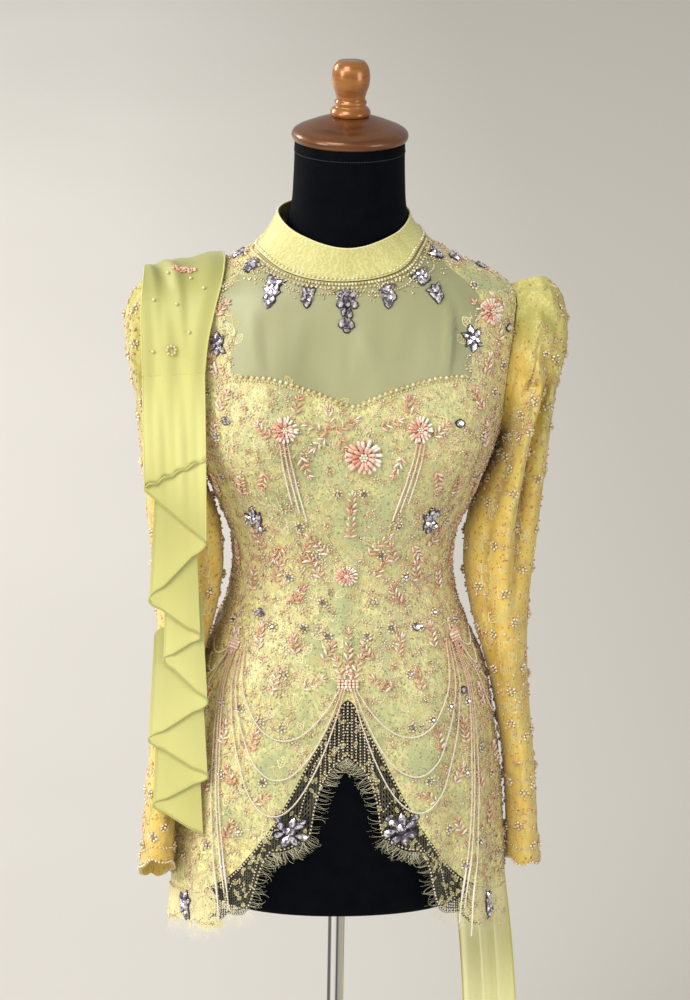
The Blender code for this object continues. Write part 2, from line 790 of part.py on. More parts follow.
def cascade_place(u, v):
    """The folded layers behind it, one sheet that turns back at every fold."""
    folds = len(CASCADE.rows) - 1
    turn = 1.0 + (folds - 1) * u
    step = min(math.floor(turn), folds - 1)
    share = turn - step
    start, end = min(1.0, share / CASCADE_BEND), min(1.0, (1 - share) / CASCADE_BEND)
    x = lerp(CASCADE.rows[step][1], CASCADE.rows[step + 1][1], share * start + (1 - share) * (1 - end))
    low = lerp(CASCADE.rows[step][2], CASCADE.rows[step + 1][2], share)
    z = lerp(low, low + CASCADE_DROP, v)
    x = lerp(x, CASCADE_MIDDLE, 0.2 * v)
    layer = step - 0.5 + (math.cos(math.pi * end / 2) - math.cos(math.pi * start / 2)) / 2
    return Vector((x, front_y(z) + CASCADE_GAP + CASCADE_STEP * layer, z))


def cascade_face(u, v):
    """The folded sheet's point and normal. Its outer face looks back on every other layer."""
    folds = len(CASCADE.rows) - 1
    turn = 1.0 + (folds - 1) * u
    at_fold = abs(turn - round(turn)) < 0.01 and 1 < round(turn) < folds
    looks = 1 if min(math.floor(turn), folds - 1) % 2 else -1
    return cascade_place(u, v), Vector((1, 0, 0)) if at_fold else Vector((0, looks, 0))


def make_shawl(materials, collection):
    def looking(place):
        return lambda u, v: surface(place, u, v)

    for name, face, columns, rows in (
        ("shawl_shoulder", looking(shoulder_place), 10, 11),
        ("shawl_back", looking(back_place), 10, 10),
        ("shawl_tail", looking(tail_place), 14, 7),
        ("shawl_front", looking(front_fall_place), 5, 4),
        ("shawl_cascade", cascade_face, 32, 4),
    ):
        wall(name, face, columns, rows, SHEER_WALL, materials["chiffon"], collection)


# ---------------------------------------------------------------- beads, crystals, flowers
# Raised groups on the blouse: height and angle of the middle, width, height, lobes, thickness.
CRYSTALS = (
    ("crystal_neck_1", 1.3130, -94.0, 0.022, 0.014, 5, 0.0042),
    ("crystal_neck_2", 1.3140, -62.0, 0.015, 0.018, 5, 0.0042),
    ("crystal_neck_3", 1.3110, -34.0, 0.017, 0.016, 5, 0.0042),
    ("crystal_neck_4", 1.2980, -30.0, 0.016, 0.018, 5, 0.0042),
    ("crystal_neck_5", 1.3060, -16.0, 0.014, 0.020, 5, 0.0042),
    ("crystal_neck_6", 1.2920, -2.0, 0.022, 0.044, 7, 0.0046),
    ("crystal_neck_7", 1.3065, 13.0, 0.016, 0.022, 5, 0.0042),
    ("crystal_neck_8", 1.3110, 34.0, 0.018, 0.013, 5, 0.0042),
    ("crystal_neck_9", 1.2965, 32.0, 0.018, 0.020, 5, 0.0042),
    ("crystal_neck_10", 1.3115, 69.0, 0.020, 0.014, 5, 0.0042),
    ("crystal_neck_11", 1.3035, 82.5, 0.014, 0.012, 5, 0.0036),
    ("crystal_neck_12", 1.2920, 94.0, 0.011, 0.010, 5, 0.0036),
    ("crystal_shoulder_left", 1.242, 42.5, 0.024, 0.024, 7, 0.0046),
    ("crystal_shoulder_right", 1.234, -48.5, 0.020, 0.022, 7, 0.0046),
    ("crystal_waist_left", 1.046, 39.0, 0.022, 0.032, 7, 0.0046),
    ("crystal_waist_right", 1.044, -46.5, 0.024, 0.032, 7, 0.0046),
    ("crystal_front_hem_left", 0.720, 19.0, 0.034, 0.036, 7, 0.0046),
    ("crystal_front_hem_right", 0.718, -19.0, 0.034, 0.034, 7, 0.0046),
    ("crystal_side_hem_left", 0.608, 66.0, 0.024, 0.030, 7, 0.0046),
    ("crystal_side_hem_right", 0.605, -72.0, 0.024, 0.030, 7, 0.0046),
)
FLOWERS = (
    ("flower_centre", 1.126, 4.0, 0.038, 0.038, 8, 0.0040),
    ("flower_bust_left", 1.154, 22.5, 0.026, 0.026, 6, 0.0034),
    ("flower_bust_right", 1.154, -22.5, 0.026, 0.026, 6, 0.0034),
    ("flower_shoulder_left", 1.266, 53.0, 0.026, 0.026, 6, 0.0034),
    ("flower_waist", 0.990, -1.0, 0.022, 0.022, 6, 0.0034),
)


def raised(row, points, dip, material, collection):
    """A lobed plate that follows the blouse. dip lowers its middle, as in an open flower."""
    name, height, angle, width, tall, lobes, thick = row
    rings = ((0.0, 1.0 - dip), (0.55, 1.0), (1.0, 0.38))
    rise_length = (cloth(height + 0.001, angle) - cloth(height - 0.001, angle)).length / 0.002
    turn_length = (cloth(height, angle + 0.5) - cloth(height, angle - 0.5)).length
    hollow = bell(height - 0.995, 0.075)
    hollow += 1.6 * bell(height - 1.312, 0.006) * bell(abs(angle) - 72, 14)
    clear = PANEL_CLEAR + HOLLOW_CLEAR * hollow
    mesh = bpy.data.meshes.new(name)
    shape = bmesh.new()
    levels = []
    for share, rise in rings:
        low, top = [], []
        for k in range(points if share else 1):
            turn = 2 * math.pi * k / points
            lobe = 1 - 0.16 * (1 - abs(math.cos(lobes * turn / 2))) * (share == 1.0)
            across = share * lobe * width / 2 * math.sin(turn)
            up = share * lobe * tall / 2 * math.cos(turn)
            at = (height + up / rise_length, angle + across / turn_length)
            point, normal = on_cloth(*at, WALL + clear)
            low.append(shape.verts.new(point))
            top.append(shape.verts.new(point + normal * thick * rise))
        levels.append((low, top))
    for (low, top), (far_low, far_top) in zip(levels, levels[1:]):
        for k in range(points):
            n = (k + 1) % points
            if len(top) == 1:
                shape.faces.new((top[0], far_top[n], far_top[k]))
                shape.faces.new((low[0], far_low[k], far_low[n]))
            else:
                shape.faces.new((top[k], top[n], far_top[n], far_top[k]))
                shape.faces.new((low[k], far_low[k], far_low[n], low[n]))
    low, top = levels[-1]
    for k in range(points):
        n = (k + 1) % points
        shape.faces.new((low[n], low[k], top[k], top[n]))
    bmesh.ops.recalc_face_normals(shape, faces=shape.faces)
    shape.to_mesh(mesh)
    shape.free()
    return add_object(name, mesh, material, collection)


STRAND = 0.0024  # width of a string of beads
STRAND_OUT = WALL + 0.0032  # from the cloth's inner face to a strand's middle
HEAD_TALL, HEAD_STEP = 0.009, 0.0034


def swag(start, end, sag, steps, bend=0.0):
    """Places (height, angle, out) along a strand that sags between two places."""
    path = []
    for k in range(1, steps + 1):
        t = k / steps
        height = lerp(start[0], end[0], t) - 4 * sag * t * (1 - t)
        angle = lerp(start[1], end[1], t) + bend * math.sin(math.pi * t)
        path.append((height, angle, STRAND_OUT))
    return path


def bead_group(name, height, angle, paths, material, collection):
    """A tassel head with one strand of beads for every path, all one solid."""
    count = len(paths)
    step = math.degrees(HEAD_STEP / FORM.at("half_width", height))
    mesh = bpy.data.meshes.new(name)
    shape = bmesh.new()
    inner, outer = WALL + 0.0009, WALL + 0.0009 + 0.0036

    def corner(up, i, out):
        return shape.verts.new(on_cloth(height + up, angle + (i - count / 2) * step, out)[0])

    grid = {
        (up, i, out): corner(up, i, out)
        for up in (0, HEAD_TALL)
        for i in range(count + 1)
        for out in (inner, outer)
    }
    for i in range(count):
        for a, b in ((inner, HEAD_TALL), (outer, HEAD_TALL)):
            shape.faces.new(
                [grid[k] for k in ((0, i, a), (0, i + 1, a), (b, i + 1, a), (b, i, a))]
            )
        shape.faces.new(
            [
                grid[k]
                for k in (
                    (HEAD_TALL, i, inner),
                    (HEAD_TALL, i + 1, inner),
                    (HEAD_TALL, i + 1, outer),
                    (HEAD_TALL, i, outer),
                )
            ]
        )
    for i in (0, count):
        ends = ((0, inner), (0, outer), (HEAD_TALL, outer), (HEAD_TALL, inner))
        shape.faces.new([grid[(up, i, out)] for up, out in ends])
    for i, path in enumerate(paths):
        ring = [grid[k] for k in ((0, i, inner), (0, i + 1, inner), (0, i + 1, outer), (0, i, outer))]
        spots = [on_cloth(*place[:3]) for place in path]
        points = [spot[0] for spot in spots]
        for k, (point, normal) in enumerate(spots):
            before = points[k - 1] if k else ring_middle(ring)
            after = points[min(k + 1, len(points) - 1)]
            along = (after - before).normalized()
            side = along.cross(normal).normalized()
            half = STRAND / 2 * (path[k][3] if len(path[k]) > 3 else 1.0)
            normal = side.cross(along).normalized()
            fresh = [
                shape.verts.new(point + side * half * a + normal * half * b)
                for a, b in ((1, -1), (-1, -1), (-1, 1), (1, 1))
            ]
            best = min(
                range(4),
                key=lambda r: sum((ring[q].co - fresh[(q + r) % 4].co).length for q in range(4)),
            )
            fresh = fresh[best:] + fresh[:best]
            for q in range(4):
                n = (q + 1) % 4
                shape.faces.new((ring[q], ring[n], fresh[n], fresh[q]))
            ring = fresh
        shape.faces.new(ring)
    bmesh.ops.recalc_face_normals(shape, faces=shape.faces)
    shape.to_mesh(mesh)
    shape.free()
    return add_object(name, mesh, material, collection)


def ring_middle(ring):
    return sum((vert.co for vert in ring), Vector()) / len(ring)


def make_beads(materials, collection):
    pearl = materials["bead"]
    head = 0.874
    side_head = {1: (0.906, 57.0), -1: (0.900, -56.0)}
    paths = []
    for sign in (-1, 1):
        height, angle = side_head[sign]
        swags = [
            swag(
                (head, sign * (1.2 + 0.9 * k)),
                (height + 0.003 * k, angle - sign * (3.8 + 1.3 * k)),
                sag,
                9,
            )
            for k, sag in enumerate((0.152, 0.114, 0.072))
        ]
        paths.append(swags)
    ordered_paths = paths[0][::-1] + paths[1]
    bead_group("beads_centre", head, 0.0, ordered_paths, pearl, collection)
    for name, sign, length in (("beads_left", 1, 0.588), ("beads_right", -1, 0.606)):
        height, angle = side_head[sign]
        hanging = []
        for k, (top, low) in enumerate(((-1.0, -11.0), (0.2, -8.5), (1.4, -6.0))):
            path = []
            steps = 7
            end = length + 0.016 * ((k + 1) % 3)
            for n in range(1, steps + 1):
                t = n / steps
                place = (
                    lerp(height, end, t),
                    angle + sign * lerp(top, low, t),
                    STRAND_OUT,
                    1.7 if n == steps - 1 else 1.0,
                )
                path.append(place)
            hanging.append(path)
        back = [
            swag((height, angle + sign * 3.0), (height - 0.012, angle + sign * 16.0), 0.022, 5),
            swag((height, angle + sign * 4.2), (height + 0.004, angle + sign * 21.0), 0.012, 5),
        ]
        group = hanging + back
        if sign < 0:
            group = group[::-1]
        bead_group(name, height, angle + sign * 1.5, group, pearl, collection)


def make_trims(materials, collection):
    for row in CRYSTALS:
        raised(row, 8, 0.0, materials["crystal"], collection)
    for row in FLOWERS:
        raised(row, 2 * row[5], 0.45, materials["petal"], collection)
    make_beads(materials, collection)


# ---------------------------------------------------------------- the dress form and its stand
FORM_RINGS = (0.612, 0.616, 0.628, 0.680, 0.740, 0.800, 0.860, 0.905, 0.945, 0.980, 1.010)
FORM_RINGS += (1.050, 1.090, 1.115, 1.140, 1.170, 1.205, 1.240, 1.262, 1.277)
FORM_RINGS += (1.290, 1.305, 1.318, 1.330, 1.345, 1.375, NECK_TOP)
FORM_COLUMNS = 24
FORM_EDGE = {0.612: 0.955, 0.616: 0.987}  # the rounded lower edge
NECK_CAP = (
    (0.0560, 1.4300),
    (0.0590, 1.4320),
    (0.0600, 1.4360),
    (0.0585, 1.4400),
    (0.0450, 1.4470),
    (0.0300, 1.4525),
    (0.0195, 1.4555),
)
FINIAL = (
    (0.0190, 1.4560),
    (0.0208, 1.4590),
    (0.0190, 1.4635),
    (0.0160, 1.4665),
    (0.0166, 1.4700),
    (0.0150, 1.4735),
    (0.0168, 1.4810),
    (0.0192, 1.4890),
    (0.0197, 1.4960),
    (0.0188, 1.5035),
    (0.0165, 1.5090),
    (0.0138, 1.5120),
)
POLE_RADIUS = 0.0090
FOOT = (
    (0.1570, 0.0000),
    (0.1600, 0.0020),
    (0.1600, 0.0060),
    (0.1560, 0.0090),
    (0.0400, 0.0175),
    (0.0170, 0.0230),
    (0.0160, 0.0500),
)
FOOT_TOP = 0.0500


def rings_to_solid(name, rings, material, collection):
    """A closed solid through rings of points, with a flat cap at both ends."""
    mesh = bpy.data.meshes.new(name)
    shape = bmesh.new()
    levels = [[shape.verts.new(p) for p in ring] for ring in rings]
    count = len(levels[0])
    for low, top in zip(levels, levels[1:]):
        for k in range(count):
            n = (k + 1) % count
            shape.faces.new((low[k], low[n], top[n], top[k]))
    shape.faces.new(levels[0][::-1])
    shape.faces.new(levels[-1])
    shape.to_mesh(mesh)
    shape.free()
    return add_object(name, mesh, material, collection)


def turned(name, profile, sides, material, collection):
    """A solid turned about the stand's axis from (radius, height) pairs."""
    rings = []
    for radius, height in profile:
        turns = (2 * math.pi * k / sides for k in range(sides))
        rings.append([Vector((radius * math.cos(a), radius * math.sin(a), height)) for a in turns])
    return rings_to_solid(name, rings, material, collection)


def make_stand(materials, collection):
    rings = []
    for z in FORM_RINGS:
        scale = FORM_EDGE.get(z, 1.0)
        ring = []
        for k in range(FORM_COLUMNS):
            point = torso(z, 360 * k / FORM_COLUMNS)
            ring.append(Vector((point.x * scale, point.y * scale, z)))
        rings.append(ring)
    rings_to_solid("dress_form", rings, materials["jersey"], collection)
    turned("neck_cap", NECK_CAP, 24, materials["copper_paint"], collection)
    turned("finial", FINIAL, 16, materials["copper_paint"], collection)
    pole = ((POLE_RADIUS, FOOT_TOP + SEAM), (POLE_RADIUS, FORM_BOTTOM - SEAM))
    turned("pole", pole, 16, materials["chrome"], collection)
    turned("foot", FOOT, 32, materials["chrome"], collection)


def main():
    clear_scene()
    parts = new_collection("kebaya_on_dress_form")
    materials = {
        "lace_on_satin": new_material("lace_on_satin", (0.66, 0.62, 0.33), 0.6),
        "satin": new_material("satin", (0.48, 0.48, 0.26), 0.45),
        "lace_on_gold": new_material("lace_on_gold", (0.68, 0.54, 0.18), 0.6),
        "chiffon": new_material("chiffon", (0.78, 0.78, 0.32), 0.7),
        "jersey": new_material("jersey", (0.004, 0.005, 0.008), 0.85),
        "bead": new_material("bead", (0.85, 0.60, 0.50), 0.3),
        "crystal": new_material("crystal", (0.45, 0.42, 0.50), 0.15, 0.6),
        "petal": new_material("petal", (0.85, 0.55, 0.45), 0.4),
        "copper_paint": new_material("copper_paint", (0.35, 0.10, 0.02), 0.3, 0.3),
        "chrome": new_material("chrome", (0.6, 0.6, 0.6), 0.2, 1.0),
    }
    make_stand(materials, parts)
    make_panels(materials, parts)
    make_collar(materials, parts)
    make_sleeves(materials, parts)
    make_lace_border(materials, parts)
    make_shawl(materials, parts)
    make_trims(materials, parts)


main()
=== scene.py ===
"""Looks of the beaded lace kebaya blouse with a chiffon shawl, on its limbless dress form.

Metres, +Z up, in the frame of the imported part. The front faces -Y, and "left" is the wearer's,
at +X. A place on the torso is (angle, height): angle 0 is the centre front, +90 the left side
seam. The lines and sections below are the part's own. Here they are read on fine grids, and
creases, lace, beads and stones are laid on them.
"""

import math

import bmesh
import bpy
import numpy as np
from mathutils import Matrix, Vector


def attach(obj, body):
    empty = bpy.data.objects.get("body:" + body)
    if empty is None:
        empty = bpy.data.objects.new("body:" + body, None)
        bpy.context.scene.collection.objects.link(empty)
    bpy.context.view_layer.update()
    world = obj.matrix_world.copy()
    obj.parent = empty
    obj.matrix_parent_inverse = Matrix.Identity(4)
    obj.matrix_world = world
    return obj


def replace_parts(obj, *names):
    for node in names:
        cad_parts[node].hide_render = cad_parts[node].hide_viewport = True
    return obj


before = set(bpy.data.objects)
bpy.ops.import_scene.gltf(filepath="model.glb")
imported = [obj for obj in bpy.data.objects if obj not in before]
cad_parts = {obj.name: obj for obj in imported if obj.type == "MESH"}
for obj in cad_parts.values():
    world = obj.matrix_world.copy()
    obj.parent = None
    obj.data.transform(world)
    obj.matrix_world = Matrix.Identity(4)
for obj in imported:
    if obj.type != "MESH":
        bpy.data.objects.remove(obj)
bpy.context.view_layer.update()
BODY = "root"
rng = np.random.default_rng(7)

# ---------------------------------------------------------------- sizes shared with the part
WALL = 0.0014
SHEER_WALL = 0.001
SEAM = 0.0003
FORM_BOTTOM = 0.612
NECK_TOP = 1.4297
ARMPIT = 1.125
SHOULDER_TIP = 1.277
NECK_SIDE = 1.3225
NECK_FRONT_DROP = 0.0235
NECK_BACK_RISE = 0.004
NECK_SKEW = 0.007
TILT_FROM = 1.2
BUST_HEIGHT, BUST_ANGLE, BUST_OUT = 1.128, 38.0, 0.017
BUST_SPREAD, BUST_RISE, BUST_FALL = 20.0, 0.052, 0.036
ARMHOLE_HALF_ANGLE = 20.0
FLUTES = 13


def lerp(a, b, t):
    return a + (b - a) * t


def smooth(t):
    t = np.clip(t, 0.0, 1.0)
    return t * t * (3 - 2 * t)


def bell(x, width):
    return np.exp(-((x / width) ** 2))


def unit(v):
    return v / np.maximum(np.linalg.norm(v, axis=-1, keepdims=True), 1e-12)


def wrapped(angle):
    """The same angle between -180 and 180 degrees."""
    return (angle + 180) % 360 - 180


def xyz(x, y, z):
    return np.stack(np.broadcast_arrays(x, y, z), axis=-1).astype(float)


class Table:
    """Rows of numbers under named columns, read between rows along a smooth curve."""

    def __init__(self, columns, rows):
        self.columns = columns
        rows = np.array(rows, float)
        self.rows = rows[np.argsort(rows[:, 0])]

    def at(self, column, key):
        x, y = self.rows[:, 0], self.rows[:, self.columns.index(column)]
        key = np.clip(np.asarray(key, float), x[0], x[-1])
        i = np.clip(np.searchsorted(x, key) - 1, 0, len(x) - 2)
        width, slope = x[i + 1] - x[i], self.slopes(x, y)
        t = (key - x[i]) / width
        return (
            y[i] * (1 + 2 * t) * (1 - t) ** 2
            + slope[i] * width * t * (1 - t) ** 2
            + y[i + 1] * t * t * (3 - 2 * t)
            - slope[i + 1] * width * t * t * (1 - t)
        )

    @staticmethod
    def slopes(x, y):
        """Slopes at the rows that never overshoot their neighbours."""
        steps = np.diff(y) / np.diff(x)
        before, after = steps[:-1], steps[1:]
        total = np.where(before * after > 0, before + after, 1.0)
        inner = np.where(before * after > 0, 2 * before * after / total, 0.0)
        return np.concatenate([[0.0], inner, [0.0]])


FORM = Table(
    ("height", "half_width", "front", "back", "square"),
    (
        (1.43, 0.0565, 0.0565, 0.0565, 0),
        (1.375, 0.058, 0.057, 0.059, 0),
        (1.345, 0.0628, 0.058, 0.064, 0.02),
        (1.325, 0.0765, 0.061, 0.071, 0.04),
        (1.305, 0.1105, 0.066, 0.08, 0.06),
        (1.29, 0.142, 0.072, 0.087, 0.08),
        (1.277, 0.164, 0.077, 0.092, 0.08),
        (1.262, 0.1715, 0.082, 0.097, 0.08),
        (1.24, 0.172, 0.0885, 0.102, 0.08),
        (1.2, 0.168, 0.0985, 0.107, 0.08),
        (1.15, 0.16, 0.107, 0.107, 0.08),
        (1.1, 0.146, 0.104, 0.101, 0.08),
        (1.05, 0.127, 0.0915, 0.091, 0.06),
        (1.01, 0.111, 0.0825, 0.0795, 0.05),
        (0.98, 0.1085, 0.0805, 0.077, 0.05),
        (0.95, 0.1115, 0.0835, 0.082, 0.05),
        (0.91, 0.125, 0.0945, 0.096, 0.06),
        (0.86, 0.1445, 0.1055, 0.111, 0.08),
        (0.8, 0.1525, 0.1105, 0.122, 0.08),
        (0.74, 0.1565, 0.1105, 0.125, 0.08),
        (0.68, 0.1555, 0.107, 0.121, 0.08),
        (0.612, 0.15, 0.101, 0.113, 0.08),
    ),
)
EASE = Table(
    ("height", "ease", "flute"),
    (
        (1.3225, 0.004, 0),
        (1.2, 0.005, 0),
        (1.1, 0.0045, 0),
        (0.98, 0.005, 0),
        (0.9, 0.006, 0),
        (0.8, 0.0095, 0.0012),
        (0.72, 0.0145, 0.0026),
        (0.66, 0.0195, 0.004),
        (0.58, 0.027, 0.0056),
    ),
)
FRONT_SEAM = Table(
    ("height", "angle"),
    (
        (0.6, 35), (0.7, 32), (0.8, 30), (0.9, 28), (0.98, 27), (1.05, 31),
        (1.125, 38), (1.2, 43), (1.24, 42), (1.275, 48), (1.3, 58), (1.3225, 74),
    ),
)
LINING_EDGE = Table(
    ("angle", "height"),
    (
        (0, 0.862), (2.5, 0.856), (8, 0.825), (13, 0.797), (21, 0.748), (28, 0.712),
        (39, 0.671), (51, 0.645), (70, 0.626), (90, 0.619), (180, 0.615),
    ),
)
SWEETHEART = Table(
    ("angle", "height"),
    (
        (0, 1.178), (3, 1.18), (6, 1.1845), (10, 1.1895), (16, 1.1955), (23, 1.201),
        (30, 1.204), (36, 1.2035), (44, 1.201),
    ),
)
LACE_EDGE = Table(
    ("angle", "height"),
    (
        (0, 0.797), (4, 0.792), (8, 0.775), (10.5, 0.748), (12.5, 0.71), (16, 0.7),
        (25, 0.696), (28, 0.68), (31, 0.652), (34, 0.63), (40, 0.618), (54, 0.6),
        (70, 0.59), (90, 0.584), (180, 0.584),
    ),
)
LACE_SCALLOP = 0.008
LACE_SCALLOP_ANGLE = 15.0

# ---------------------------------------------------------------- creases of the worn cloth
# Each runs from one place to another. depth is positive on a ridge and negative in a trough.
CREASES = (
    # from_angle, from_height, to_angle, to_height, width, depth
    (2, 1.266, 6.5, 1.215, 0.0045, 0.0024),
    (-1.5, 1.262, -2, 1.205, 0.004, -0.0012),
    (33.5, 1.292, 31, 1.2, 0.004, 0.0036),
    (36.5, 1.292, 34.5, 1.2, 0.0028, -0.003),
    (-34, 1.285, -31, 1.2, 0.0045, 0.003),
    (-29, 1.28, -26.5, 1.2, 0.0035, -0.0014),
    (17, 1.285, 15, 1.225, 0.005, 0.0016),
    (-16, 1.282, -18, 1.205, 0.006, 0.0018),
    (-33, 1.2, -36, 1.275, 0.006, 0.0012),
    (-27.5, 1.2, -30, 1.262, 0.0045, -0.0008),
    (-22, 1.205, -22, 1.285, 0.006, 0.0008),
    (-4.5, 1.195, -2, 1.262, 0.005, 0.0007),
    (2.5, 1.19, 1, 1.25, 0.004, 0.0009),
    (9, 1.2, 5, 1.262, 0.0045, 0.0006),
    (26, 1.2, 23, 1.285, 0.007, 0.0008),
    (34, 1.205, 31, 1.275, 0.006, 0.0013),
    (39.5, 1.205, 36.5, 1.262, 0.004, -0.001),
    (-52, 1.09, -24, 1.02, 0.007, 0.0007),
    (-58, 1.06, -30, 0.995, 0.006, -0.0008),
    (52, 1.095, 26, 1.03, 0.007, 0.0008),
    (60, 1.055, 34, 1, 0.006, -0.0007),
    (-8, 1.01, -6, 0.93, 0.005, -0.0015),
    (-3, 0.98, -2, 0.89, 0.005, 0.0018),
    (6, 1, 8, 0.9, 0.0055, -0.0017),
    (12, 0.96, 15, 0.86, 0.006, 0.0015),
    (-14, 0.93, -20, 0.8, 0.007, 0.0011),
    (-25, 0.88, -31, 0.72, 0.0075, -0.0013),
    (-40, 0.9, -47, 0.68, 0.009, 0.0015),
    (-60, 0.9, -66, 0.66, 0.009, -0.0015),
    (21, 0.9, 24, 0.77, 0.007, -0.0011),
    (30, 0.88, 36, 0.7, 0.0075, 0.0014),
    (45, 0.89, 52, 0.68, 0.009, -0.0014),
    (62, 0.91, 70, 0.65, 0.009, 0.0015),
    (86, 0.93, 92, 0.65, 0.01, -0.0014),
    (-84, 0.93, -90, 0.65, 0.01, 0.0014),
    (112, 0.93, 116, 0.65, 0.01, 0.0014),
    (-110, 0.94, -117, 0.65, 0.01, -0.0014),
    (140, 0.92, 143, 0.65, 0.01, -0.0015),
    (-138, 0.93, -145, 0.65, 0.01, 0.0016),
    (166, 0.93, 170, 0.65, 0.009, 0.0014),
    (-168, 0.9, -172, 0.65, 0.009, -0.0012),
    (150, 1.08, 176, 1.01, 0.007, 0.0008),
    (-150, 1.085, -176, 1.015, 0.007, 0.0008),
    (128, 1.12, 160, 1.04, 0.007, -0.0007),
    (-128, 1.115, -158, 1.035, 0.007, -0.0008),
    (100, 1.11, 78, 1.04, 0.006, 0.0006),
    (-100, 1.105, -76, 1.045, 0.006, 0.0006),
)


def near_line(p, q, ends, scale, width):
    """How near (p, q) is to a line between two places, from 0 to 1. scale turns p and q into metres."""
    a = np.array([ends[0] * scale[0], ends[1] * scale[1]])
    b = np.array([ends[2] * scale[0], ends[3] * scale[1]])
    run, length = b - a, np.linalg.norm(b - a)
    x, y = p * scale[0] - a[0], q * scale[1] - a[1]
    along = (x * run[0] + y * run[1]) / length**2
    away = (x * run[1] - y * run[0]) / length
    fade = np.sin(np.pi * np.clip(along, 0, 1)) ** 0.7
    return bell(away, width) * fade


DEGREE = 0.0023  # metres that a degree of the torso takes, about


def relief(angle, height):
    """How far the creases move the cloth out."""
    turned = wrapped(angle)
    total = np.zeros(np.broadcast(angle, height).shape)
    for *ends, width, depth in CREASES:
        total += depth * near_line(turned, height, ends, (DEGREE, 1.0), width)
    return total


# ---------------------------------------------------------------- the torso and the cloth
def neck_tilt(angle):
    c = np.cos(np.radians(angle))
    return np.where(c > 0, -NECK_FRONT_DROP * c**3, -NECK_BACK_RISE * c)


def true_height(height, angle):
    share = smooth((height - TILT_FROM) / (NECK_SIDE - TILT_FROM))
    skew = smooth((height - SHOULDER_TIP) / (NECK_SIDE - SHOULDER_TIP))
    return height + share * neck_tilt(angle) + skew * NECK_SKEW * np.sin(np.radians(angle))


def torso(z, angle, ease=0.0):
    """Points of the torso's sections at heights z, moved out level by ease."""
    half_width, front, back, square = (FORM.at(name, z) for name in FORM.columns[1:])
    s, c = np.sin(np.radians(angle)), np.cos(np.radians(angle))
    depth = np.where(c > 0, front, back)
    turned = wrapped(angle)
    fall = np.where(z > BUST_HEIGHT, BUST_RISE, BUST_FALL)
    bust = BUST_OUT * bell(np.abs(turned) - BUST_ANGLE, BUST_SPREAD) * bell(z - BUST_HEIGHT, fall)
    out = unit(xyz(s * depth, -c * half_width, 0.0))
    place = xyz(half_width * s * (1 + square * c * c), -depth * c * (1 + square * s * s), z)
    return place + out * np.asarray(bust + ease)[..., None]


def bare_cloth(angle, height):
    """The inner face of the blouse without its creases."""
    flute = EASE.at("flute", height) * np.cos(np.radians(FLUTES * angle + 20))
    return torso(true_height(height, angle), angle, EASE.at("ease", height) + flute)


def cloth(angle, height):
    """The inner face of the blouse, creased."""
    angle, height = np.broadcast_arrays(np.asarray(angle, float), np.asarray(height, float))
    across = bare_cloth(angle + 0.5, height) - bare_cloth(angle - 0.5, height)
    up = bare_cloth(angle, height + 0.001) - bare_cloth(angle, height - 0.001)
    return bare_cloth(angle, height) + unit(np.cross(across, up)) * relief(angle, height)[..., None]


def seam_angle(height):
    return np.degrees(SEAM / 2 / FORM.at("half_width", height))


def armhole_half(height):
    t = (height - (ARMPIT + SHOULDER_TIP) / 2) / ((SHOULDER_TIP - ARMPIT) / 2)
    return ARMHOLE_HALF_ANGLE * np.sqrt(np.clip(1 - t * t, 0, None))


def front_line(height):
    return FRONT_SEAM.at("angle", height)


def front_side_line(height):
    return 90.0 - armhole_half(height) - seam_angle(height)


def back_side_line(height):
    return 90.0 + armhole_half(height) + seam_angle(height)


def sweetheart(angle):
    return SWEETHEART.at("height", np.abs(angle))


def lining_edge(angle):
    return LINING_EDGE.at("height", np.abs(angle)) + SEAM / 2


def lace_edge(angle):
    turned = np.abs(wrapped(angle))
    wave = np.abs(np.sin(np.radians(180 * turned / LACE_SCALLOP_ANGLE)))
    return LACE_EDGE.at("height", turned) - LACE_SCALLOP * (wave - 0.5)


class Surface:
    """A surface place(p, q). p runs right and q up, as seen from outside, or p left and q down."""

    def __init__(self, place, step_p, step_q):
        self.place, self.steps = place, (step_p, step_q)

    def slopes(self, p, q):
        dp, dq = self.steps
        across = (self.place(p + dp, q) - self.place(p - dp, q)) / (2 * dp)
        up = (self.place(p, q + dq) - self.place(p, q - dq)) / (2 * dq)
        return across, up

    def frame(self, p, q, out=0.0):
        """Points moved out, with unit vectors right, up and out."""
        across, up = self.slopes(p, q)
        normal = unit(np.cross(across, up))
        right = unit(across)
        place = self.place(p, q) + normal * np.asarray(out)[..., None]
        return place, right, np.cross(normal, right), normal

    def moved(self, p, q, x, y):
        """The (p, q) that lie x and y metres right of and above each (p, q)."""
        across, up = self.slopes(p, q)
        width = np.linalg.norm(across, axis=-1)
        right = across / width[..., None]
        slant = np.sum(up * right, axis=-1)
        rise = np.linalg.norm(up - right * slant[..., None], axis=-1)
        dq = y / rise
        return p + (x - dq * slant) / width, q + dq

    def beside(self, p, q, x, y, out):
        """Frames at the places x and y metres right of and above each (p, q)."""
        return self.frame(*self.moved(p, q, x, y), out)

    def drawn(self, p, q, turn, scale, drawing, out):
        """Points of a flat drawing laid on the surface at each place, turned and scaled."""
        c, s = np.cos(turn)[:, None], np.sin(turn)[:, None]
        scale = np.broadcast_to(scale, (len(p), 2))
        wide, tall = scale[:, :1], scale[:, 1:]
        x, y = drawing[None, :, 0] * wide, drawing[None, :, 1] * tall
        at_p, at_q = self.moved(p[:, None], q[:, None], x * c - y * s, x * s + y * c)
        return self.frame(at_p, at_q, out + np.zeros_like(at_p))[0]


